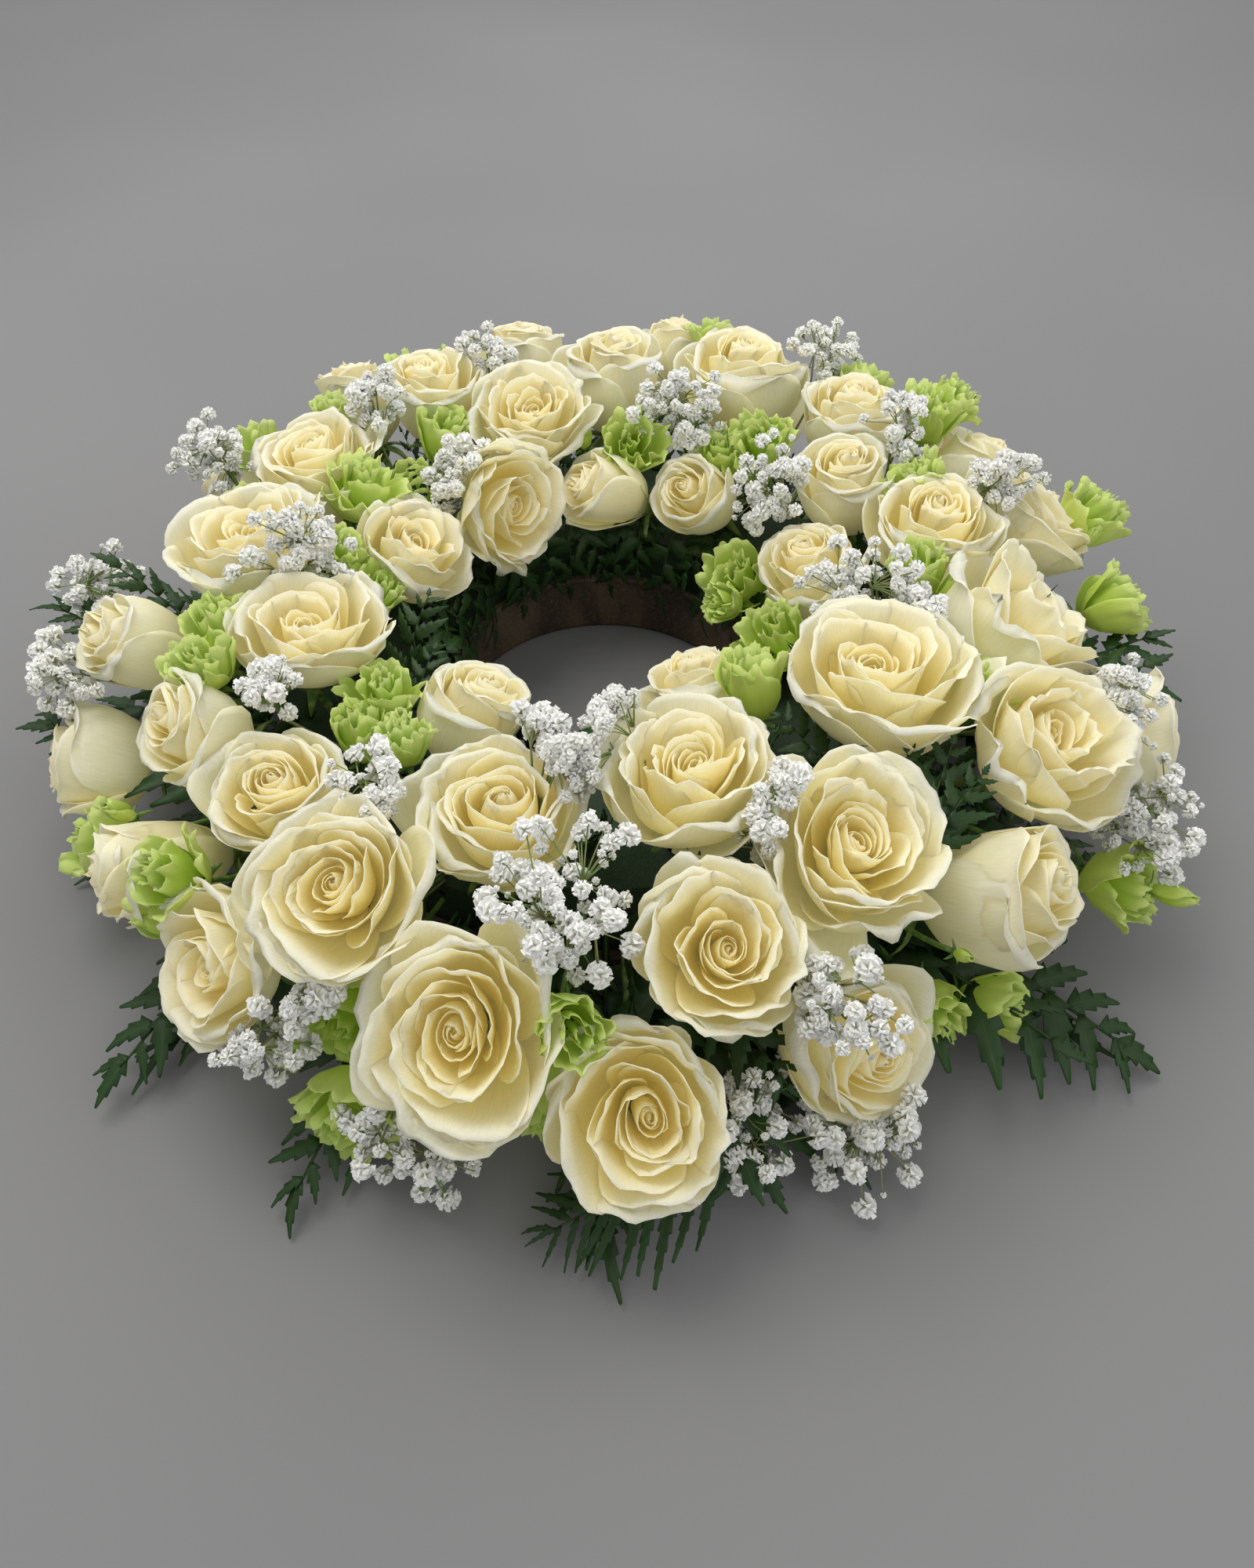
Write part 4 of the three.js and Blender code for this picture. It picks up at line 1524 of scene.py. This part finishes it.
def laid(
    master: bpy.types.Object, name: str, start: Vector, handle: Vector, end: Vector, face: Vector, wide: float
) -> bpy.types.Object:
    """Copies a flat frond and lays it along a curve.

    Args:
        master: The flat frond of unit length.
        name: The copy's name.
        start: Where its stalk starts.
        handle: The point that the curve bends towards.
        end: Its tip.
        face: The way that its upper side looks.
        wide: Its breadth over the master's.
    """
    frond = copied(master, name, Matrix.Identity(4))
    flat = points_of(frond)
    a, h, b, up = (np.array(point) for point in (start, handle, end, face))
    t = np.clip(flat[:, 1], 0, 1.02)[:, None]
    spine = a * (1 - t) ** 2 + h * (2 * t * (1 - t)) + b * t**2
    ahead = 2 * (h - a) * (1 - t) + 2 * (b - h) * t
    ahead /= np.linalg.norm(ahead, axis=1)[:, None]
    side = np.cross(ahead, up)
    side /= np.linalg.norm(side, axis=1)[:, None]
    top = np.cross(side, ahead)
    length = ((handle - start).length + (end - handle).length + (end - start).length) / 2
    move_points(frond, spine + side * flat[:, :1] * length * wide + top * flat[:, 2:] * length)
    return frond


LINING = 34  # fronds that hang inside the ring
SKIRT_FILL = 15  # short fronds under the long ones of the skirt

# Fronds that rise past the heads: the clock angle where one leaves the foam, then its tip's clock angle,
# distance from the middle and height in millimetres, its breadth over the usual, and which frond it is.
RISERS = (
    (188, 180, 300, 140, 0.8, 0),
    (195, 180, 345, 104, 0.9, 1),
    (213, 194, 345, 82, 1.0, 2),
    (221, 228, 378, 14, 1.0, 0),
    (247, 246, 374, 8, 0.9, 1),
    (286, 283, 346, 16, 1.2, 6),
    (278, 281, 352, 44, 1.1, 7),
    (308, 317, 384, 10, 1.25, 2),
    (302, 310, 362, 40, 1.0, 6),
    (339, 350, 330, 108, 1.1, 6),
    (345, 358, 345, 90, 1.0, 0),
)
UNDER_FRONT = (281, 264, 350, 8)  # the slender frond's base and tip, as above

# Sprigs that rise between the heads: clock angle, lane and height over the dome in millimetres.
SPRIGS = (
    (306, 84, 14),
    (300, 100, 10),
    (312, 76, 10),
    (247, 96, 6),
    (210, 132, 4),
    (153, 134, 8),
    (143, 70, 12),
    (288, 112, 12),
    (327, 128, 8),
    (283, 62, 6),
    (228, 60, 4),
    (120, 100, 4),
    (352, 60, 8),
)

# Fronds that lie between the heads and over their rims: the clock angle in degrees, and the distance from the
# middle and the height in millimetres, of the foot and then of the tip.
LYING = (
    (306, 201, 122, 302, 159, 142),
    (305, 258, 128, 316, 236, 156),
    (305, 255, 128, 311, 221, 152),
    (306, 259, 128, 315, 259, 152),
    (282, 262, 70, 286, 318, 60),
    (159, 120, 112, 142, 160, 136),
    (208, 128, 112, 198, 104, 138),
    (226, 150, 120, 219, 118, 134),
)


@dataclass
class Fern:
    """The leatherleaf: a skirt outside, sprigs between the heads, and a lining inside the ring.

    Attributes:
        ring: The round of the wreath.
        finish: The leaves' material.
        perches: The roses' perches.
        apart: The least distance between the sprigs that fill the gaps.
        hang: The heights that the lining hangs down to, in millimetres.
    """

    ring: Ring
    finish: bpy.types.Material
    perches: list[Perch]
    apart: float = 50 * MM
    hang: tuple[float, float] = (22, 56)
    masters: list[bpy.types.Object] = field(default_factory=list)

    def grow(self) -> None:
        """Builds three long fronds, three short ones, two large ones and a slender one, to be copied."""
        long = [Frond(7, 5, 0.27, 0.42, 0.20, seed) for seed in (11, 12, 13)]
        short = [Frond(3, 4, 0.46, 0.46, 0.14, seed) for seed in (21, 22, 23)]
        large = [Frond(4, 6, 0.42, 0.42, 0.14, seed) for seed in (31, 32)]
        slender = [Frond(10, 8, 0.50, 0.17, 0.14, 41)]
        stock = long + short + large + slender
        self.masters = [frond.build(f"frond_{k}") for k, frond in enumerate(stock)]

    def build(self) -> list[bpy.types.Object]:
        """Lays the skirt, the sprigs and the lining."""
        made = [self._skirt(), self._lining(), *self._sprigs()]
        for master in self.masters:
            bpy.data.objects.remove(master)
        log.info("%d groups of fern", len(made))
        return made

    def _finish(self, fronds: list[bpy.types.Object], name: str, *nodes: str) -> bpy.types.Object:
        """Joins fronds into one dressed piece."""
        whole = joined(fronds, name)
        dress(whole, self.finish)
        hand_over(whole, "fern_leaf", *nodes)
        return whole

    def _tips(self, node: str, apart: float = 8.0) -> list[Vector]:
        """The tips of a packed collar's fronds: the points that reach further out than all near them.

        Args:
            node: The collar.
            apart: How near another point counts, in degrees round the ring.
        """
        points = points_of(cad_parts[node])
        away = np.hypot(points[:, 0], points[:, 1])
        clock = np.degrees(np.arctan2(points[:, 1], points[:, 0]))
        tips = []
        for k in np.flatnonzero(away > 0.85 * self.ring.reach):
            near = np.abs((clock - clock[k] + 180) % 360 - 180) < apart
            if away[k] >= away[near].max() - 1e-7:
                tip = Vector(points[k])
                if all((tip - other).length > 20 * MM for other in tips):
                    tips.append(tip)
        return tips

    def _skirt(self) -> bpy.types.Object:
        """Long fronds that leave the foam low down, lie over the tray's lip and spread over the table."""
        fronds = []
        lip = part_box("fern_collar_outer")[1].z + 4 * MM
        tips = self._tips("fern_collar_outer")
        ends = [(tip, 1.0) for tip in tips]
        for number in range(SKIRT_FILL):
            rng = np.random.default_rng(700 + number)
            clock = 360 * number / SKIRT_FILL + rng.uniform(-4, 4)
            ends.append((polar(clock, rng.uniform(268, 296) * MM, rng.uniform(9, 18) * MM), 1.5))
        for number, (end, wide) in enumerate(ends):
            clock = math.degrees(math.atan2(end.y, end.x))
            start = polar(clock, self.ring.tray[1] - 12 * MM, lip + 6 * MM)
            handle = polar(clock, self.ring.tray[1] + 34 * MM, 8 * MM)
            master = self.masters[number % 3]
            fronds.append(laid(master, "frond", start, handle, end, Vector((0, 0, 1)), wide))
        for base, clock, away, height, wide, which in RISERS:
            start = polar(base, self.ring.tray[1] - 8 * MM, self.ring.core[1])
            end = polar(clock, away * MM, height * MM)
            handle = start.lerp(end, 0.55) + Vector((0, 0, 14 * MM))
            fronds.append(laid(self.masters[which], "frond", start, handle, end, Vector((0, 0, 1)), wide))
        base, clock, away, height = UNDER_FRONT
        start = polar(base, 0.86 * self.ring.reach, self.ring.core[1])
        end = polar(clock, away * MM, height * MM)
        handle = start.lerp(end, 0.5) + Vector((0, 0, 6 * MM))
        fronds.append(laid(self.masters[-1], "frond", start, handle, end, Vector((0, 0, 1)), 1.0))
        skirt = joined(fronds, "fern_skirt")
        above_table(skirt)
        return self._finish([skirt], "fern_skirt", "fern_collar_outer")

    def _lining(self) -> bpy.types.Object:
        """Fronds that come out under the inner heads and hang down the inside of the tray."""
        fronds = []
        for number in range(LINING):
            rng = np.random.default_rng(800 + number)
            clock = number * 360 / LINING + rng.uniform(-6, 6)
            start = polar(clock, self.ring.tray[0] + 24 * MM, self.ring.core[1] + 50 * MM)
            lowest = rng.uniform(*self.hang) * MM
            end = polar(clock + rng.uniform(-14, 14), self.ring.tray[0] - rng.uniform(5, 11) * MM, lowest)
            handle = polar(clock, self.ring.tray[0] - 10 * MM, self.ring.core[1] + rng.uniform(44, 56) * MM)
            face = polar(clock + 180 + rng.uniform(-25, 25), 1.0, 0.5)
            fronds.append(laid(self.masters[3 + number % 5], "frond", start, handle, end, face, 1.0))
        return self._finish(fronds, "fern_lining", "fern_collar_inner")

    def _sprigs(self) -> list[bpy.types.Object]:
        """Sprigs that rise between the heads: those that show, and more wherever there is a gap."""
        spots = [(self.ring.on_dome(clock, lane, out * MM), clock, lane) for clock, lane, out in SPRIGS]
        for clock in range(0, 360, 4):
            for lane in range(-10, 156, 8):
                spot = self.ring.on_dome(clock, lane, -(24 if lane < 105 else 12) * MM)
                room = min((spot - perch.middle).length - perch.radius for perch in self.perches)
                near = min((spot - other).length for other, _, _ in spots)
                if room > -2 * MM and near > self.apart:
                    spots.append((spot, clock, lane))
        groups = [[], [], [], []]
        for number, (base, from_middle, low, clock, to_middle, high) in enumerate(LYING):
            start, tip = polar(base, from_middle * MM, low * MM), polar(clock, to_middle * MM, high * MM)
            face = Vector((0, -0.5, 1)) + 0.25 * self.ring.outwards(clock, 60)
            handle = start.lerp(tip, 0.5) + Vector((0, 0, 5 * MM))
            start -= (tip - start) * 0.20 + Vector((0, 0, 10 * MM))
            frond = laid(self.masters[6 + number % 2], "sprig", start, handle, tip, face, 1.0)
            groups[int(clock % 360 // 90)].append(frond)
        for number, (tip, clock, lane) in enumerate(spots):
            rng = np.random.default_rng(900 + number)
            out = self.ring.outwards(clock, lane)
            start = self.ring.in_foam(tip, 0.42)
            handle = start.lerp(tip, 0.6) + Vector(rng.normal(0, 5 * MM, 3))
            around = Vector((-math.sin(math.radians(clock)), math.cos(math.radians(clock)), 0))
            spin = Matrix.Rotation(rng.uniform(0, 6.28), 3, out)
            face = spin @ around + out * 0.2
            which, wide = (6 + number % 2, 1.0) if number < len(SPRIGS) else (3 + number % 3, 0.9)
            frond = laid(self.masters[which], "sprig", start, handle, tip, face, wide)
            groups[int(clock % 360 // 90)].append(frond)
        log.info("%d sprigs", len(spots))
        sides = ("right_back", "left_back", "left_front", "right_front")
        return [self._finish(group, f"fern_sprigs_{side}") for group, side in zip(groups, sides) if group]


# ---------------------------------------------------------------------------------------------------------
# Tray and foam
# ---------------------------------------------------------------------------------------------------------


@dataclass
class Base:
    """The moulded tray and the foam in it.

    Attributes:
        ring: The round of the wreath.
        fibre: The tray's material.
        foam: The foam's material.
        wall: The thickness of the tray.
        round_off: The radius of its corners.
        rim: The height of the outer rim over the inner one's.
        steps: Faces round the ring.
    """

    ring: Ring
    fibre: bpy.types.Material
    foam: bpy.types.Material
    wall: float = 3 * MM
    round_off: float = 4 * MM
    rim: float = 0.652
    steps: int = 96

    def build(self) -> list[bpy.types.Object]:
        """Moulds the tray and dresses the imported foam."""
        low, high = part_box("tray")
        inner, outer = self.ring.tray
        lip = self.wall
        rim_out = high.z * self.rim
        outline = [
            (inner + lip, low.z, self.round_off),
            (outer - lip, low.z, self.round_off),
            (outer - lip, rim_out - self.wall, 1 * MM),
            (outer, rim_out - self.wall, 1 * MM),
            (outer, rim_out, 1 * MM),
            (outer - lip - self.wall, rim_out, 1 * MM),
            (outer - lip - self.wall, low.z + self.wall, self.round_off * 0.6),
            (inner + lip + self.wall, low.z + self.wall, self.round_off * 0.6),
            (inner + lip + self.wall, high.z, 1 * MM),
            (inner, high.z, 1 * MM),
            (inner, high.z - self.wall, 1 * MM),
            (inner + lip, high.z - self.wall, 1 * MM),
        ]
        section = self._rounded(outline)
        deselect_all()
        bpy.ops.mesh.primitive_torus_add(
            major_segments=self.steps, minor_segments=len(section), major_radius=0.15, minor_radius=0.02
        )
        tray = bpy.context.view_layer.objects.active
        tray.name = tray.data.name = "fibre_tray"
        around = np.repeat(np.arange(self.steps) * 2 * math.pi / self.steps, len(section))
        radius = np.tile(section[:, 0], self.steps)
        height = np.tile(section[:, 1], self.steps)
        move_points(tray, np.c_[radius * np.cos(around), radius * np.sin(around), height])
        select_only(tray)
        bpy.ops.object.mode_set(mode="EDIT")
        bpy.ops.mesh.select_all(action="SELECT")
        bpy.ops.mesh.normals_make_consistent(inside=False)
        bpy.ops.object.mode_set(mode="OBJECT")
        bpy.ops.object.shade_smooth_by_angle(angle=math.radians(40))
        dress(tray, self.fibre)
        hand_over(tray, "wood_fibre", "tray")
        dress(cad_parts["foam_ring"], self.foam)
        log.info("tray and foam")
        return [tray]

    def _rounded(self, outline: list[tuple[float, float, float]], steps: int = 3) -> np.ndarray:
        """The points of a closed outline with its corners rounded off.

        Args:
            outline: Corners as (radius, height, radius of the round).
            steps: Faces in each round.
        """
        corners = np.array(outline)
        points = []
        for k, (x, y, size) in enumerate(corners):
            here = np.array((x, y))
            for other in (corners[k - 1], corners[(k + 1) % len(corners)]):
                gap = other[:2] - here
                size = min(size, 0.45 * np.linalg.norm(gap))
            before = corners[k - 1][:2] - here
            after = corners[(k + 1) % len(corners)][:2] - here
            a = here + before / np.linalg.norm(before) * size
            b = here + after / np.linalg.norm(after) * size
            for step in range(steps + 1):
                t = step / steps
                points.append(a * (1 - t) ** 2 + here * (2 * t * (1 - t)) + b * t**2)
        return np.array(points)


# ---------------------------------------------------------------------------------------------------------
# Studio
# ---------------------------------------------------------------------------------------------------------


@dataclass(frozen=True)
class Studio:
    """A pale floor, soft light and the camera.

    Attributes:
        elevation: The camera's angle above the floor, in degrees.
        distance: From the camera to the point that it looks at.
        aim: The height of that point over the middle of the ring.
        lens: The focal length in millimetres, for a sensor 36 mm long.
        shift: How far the picture is moved over the lens, to frame the wreath.
        room: The strength of the light that comes from all round.
        floor: The darker and the paler grey of the floor.
    """

    elevation: float = 43.0
    distance: float = 822 * MM
    aim: float = 36 * MM
    lens: float = 29.45
    shift: tuple[float, float] = (0.0135, -0.066)
    room: float = 0.62
    floor: tuple[Colour, Colour] = ((0.215, 0.215, 0.218), (0.240, 0.240, 0.241))

    def stand_camera(self) -> None:
        """Stands the camera in front of the wreath, looking down on it."""
        camera = bpy.data.objects.new("camera", bpy.data.cameras.new("camera"))
        bpy.context.scene.collection.objects.link(camera)
        angle = math.radians(self.elevation)
        aim = Vector((0, 0, self.aim))
        camera.location = aim + Vector((0, -math.cos(angle), math.sin(angle))) * self.distance
        camera.rotation_euler = (aim - camera.location).to_track_quat("-Z", "Y").to_euler()
        camera.data.lens = self.lens
        camera.data.sensor_width = 36
        camera.data.shift_x, camera.data.shift_y = self.shift
        camera.data.clip_start, camera.data.clip_end = 0.01, 100
        bpy.context.scene.camera = camera

    def lay_floor(self) -> None:
        """Lays a pale grey floor that runs out of the picture."""
        deselect_all()
        bpy.ops.mesh.primitive_plane_add(size=30)
        floor = bpy.context.view_layer.objects.active
        floor.name = "floor"
        mix = Recipe("pale_floor")
        cloud = mix.between(mix.noise(mix.coordinates(), 1.3, 2.0), 0.3, 0.7)
        dress(floor, mix.settle(mix.mix(cloud, *self.floor), 0.85))
        floor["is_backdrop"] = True

    def light(self) -> None:
        """Hangs three soft boxes round the wreath and lights the room evenly."""
        world = bpy.data.worlds.new("room")
        bpy.context.scene.world = world
        world.use_nodes = True
        background = world.node_tree.nodes["Background"]
        background.inputs["Color"].default_value = (0.92, 0.92, 0.92, 1)
        background.inputs["Strength"].default_value = self.room
        self._soft_box("key", (-0.6, 0.4, 2.0), 1.3, 21, (1.0, 0.98, 0.95))
        self._soft_box("fill", (1.4, -1.2, 1.5), 1.6, 7, (0.95, 0.98, 1.0))
        self._soft_box("back", (0.3, 1.6, 1.6), 1.6, 13, (1.0, 1.0, 1.0))
        bpy.context.scene.view_settings.view_transform = "Standard"

    def _soft_box(self, name: str, place: tuple, size: float, power: float, colour: Colour) -> None:
        """One square soft box that faces the middle of the wreath.

        Args:
            name: Its name.
            place: Its middle.
            size: The length of its side.
            power: Its power in watts.
            colour: The colour of its light.
        """
        lamp = bpy.data.objects.new(name, bpy.data.lights.new(name, "AREA"))
        bpy.context.scene.collection.objects.link(lamp)
        lamp.location = place
        lamp.rotation_euler = (Vector((0, 0, 0.08)) - lamp.location).to_track_quat("-Z", "Y").to_euler()
        lamp.data.shape = "SQUARE"
        lamp.data.size = size
        lamp.data.energy = power
        lamp.data.color = colour


def clear_bench() -> None:
    """Removes the objects that Blender starts with."""
    for name in ("Cube", "Camera", "Light"):
        if name in bpy.data.objects:
            bpy.data.objects.remove(bpy.data.objects[name])


def main() -> None:
    """Builds the studio and then the wreath, from the tray upwards."""
    clear_bench()
    bpy.context.view_layer.update()
    ring = Ring.measured()
    log.info("ring %s", ring)
    studio = Studio()
    studio.stand_camera()
    studio.lay_floor()
    studio.light()
    finishes = Finishes.made()

    Base(ring, finishes.fibre, finishes.foam).build()

    nursery = Nursery(
        {
            Bloom.ROSE_HALF: 3,
            Bloom.ROSE_OPEN: 3,
            Bloom.ROSE_FULL: 4,
            Bloom.ROSE_LOOSE: 2,
            Bloom.LISIANTHUS: 4,
            Bloom.LISIANTHUS_CUP: 3,
            Bloom.LISIANTHUS_BUD: 2,
        }
    )
    nursery.grow()
    roses = Roses(ring, nursery, finishes.rose)
    roses.read()
    perches = list(roses.perches.values())
    roses.build()
    Lisianthus(ring, nursery, finishes.lisianthus, perches).build()
    nursery.clear()

    gypsophila = Gypsophila(ring, finishes.blossom, perches)
    gypsophila.grow()
    gypsophila.build()
    fern = Fern(ring, finishes.leaf, perches)
    fern.grow()
    fern.build()


if __name__ == "__main__":
    main()
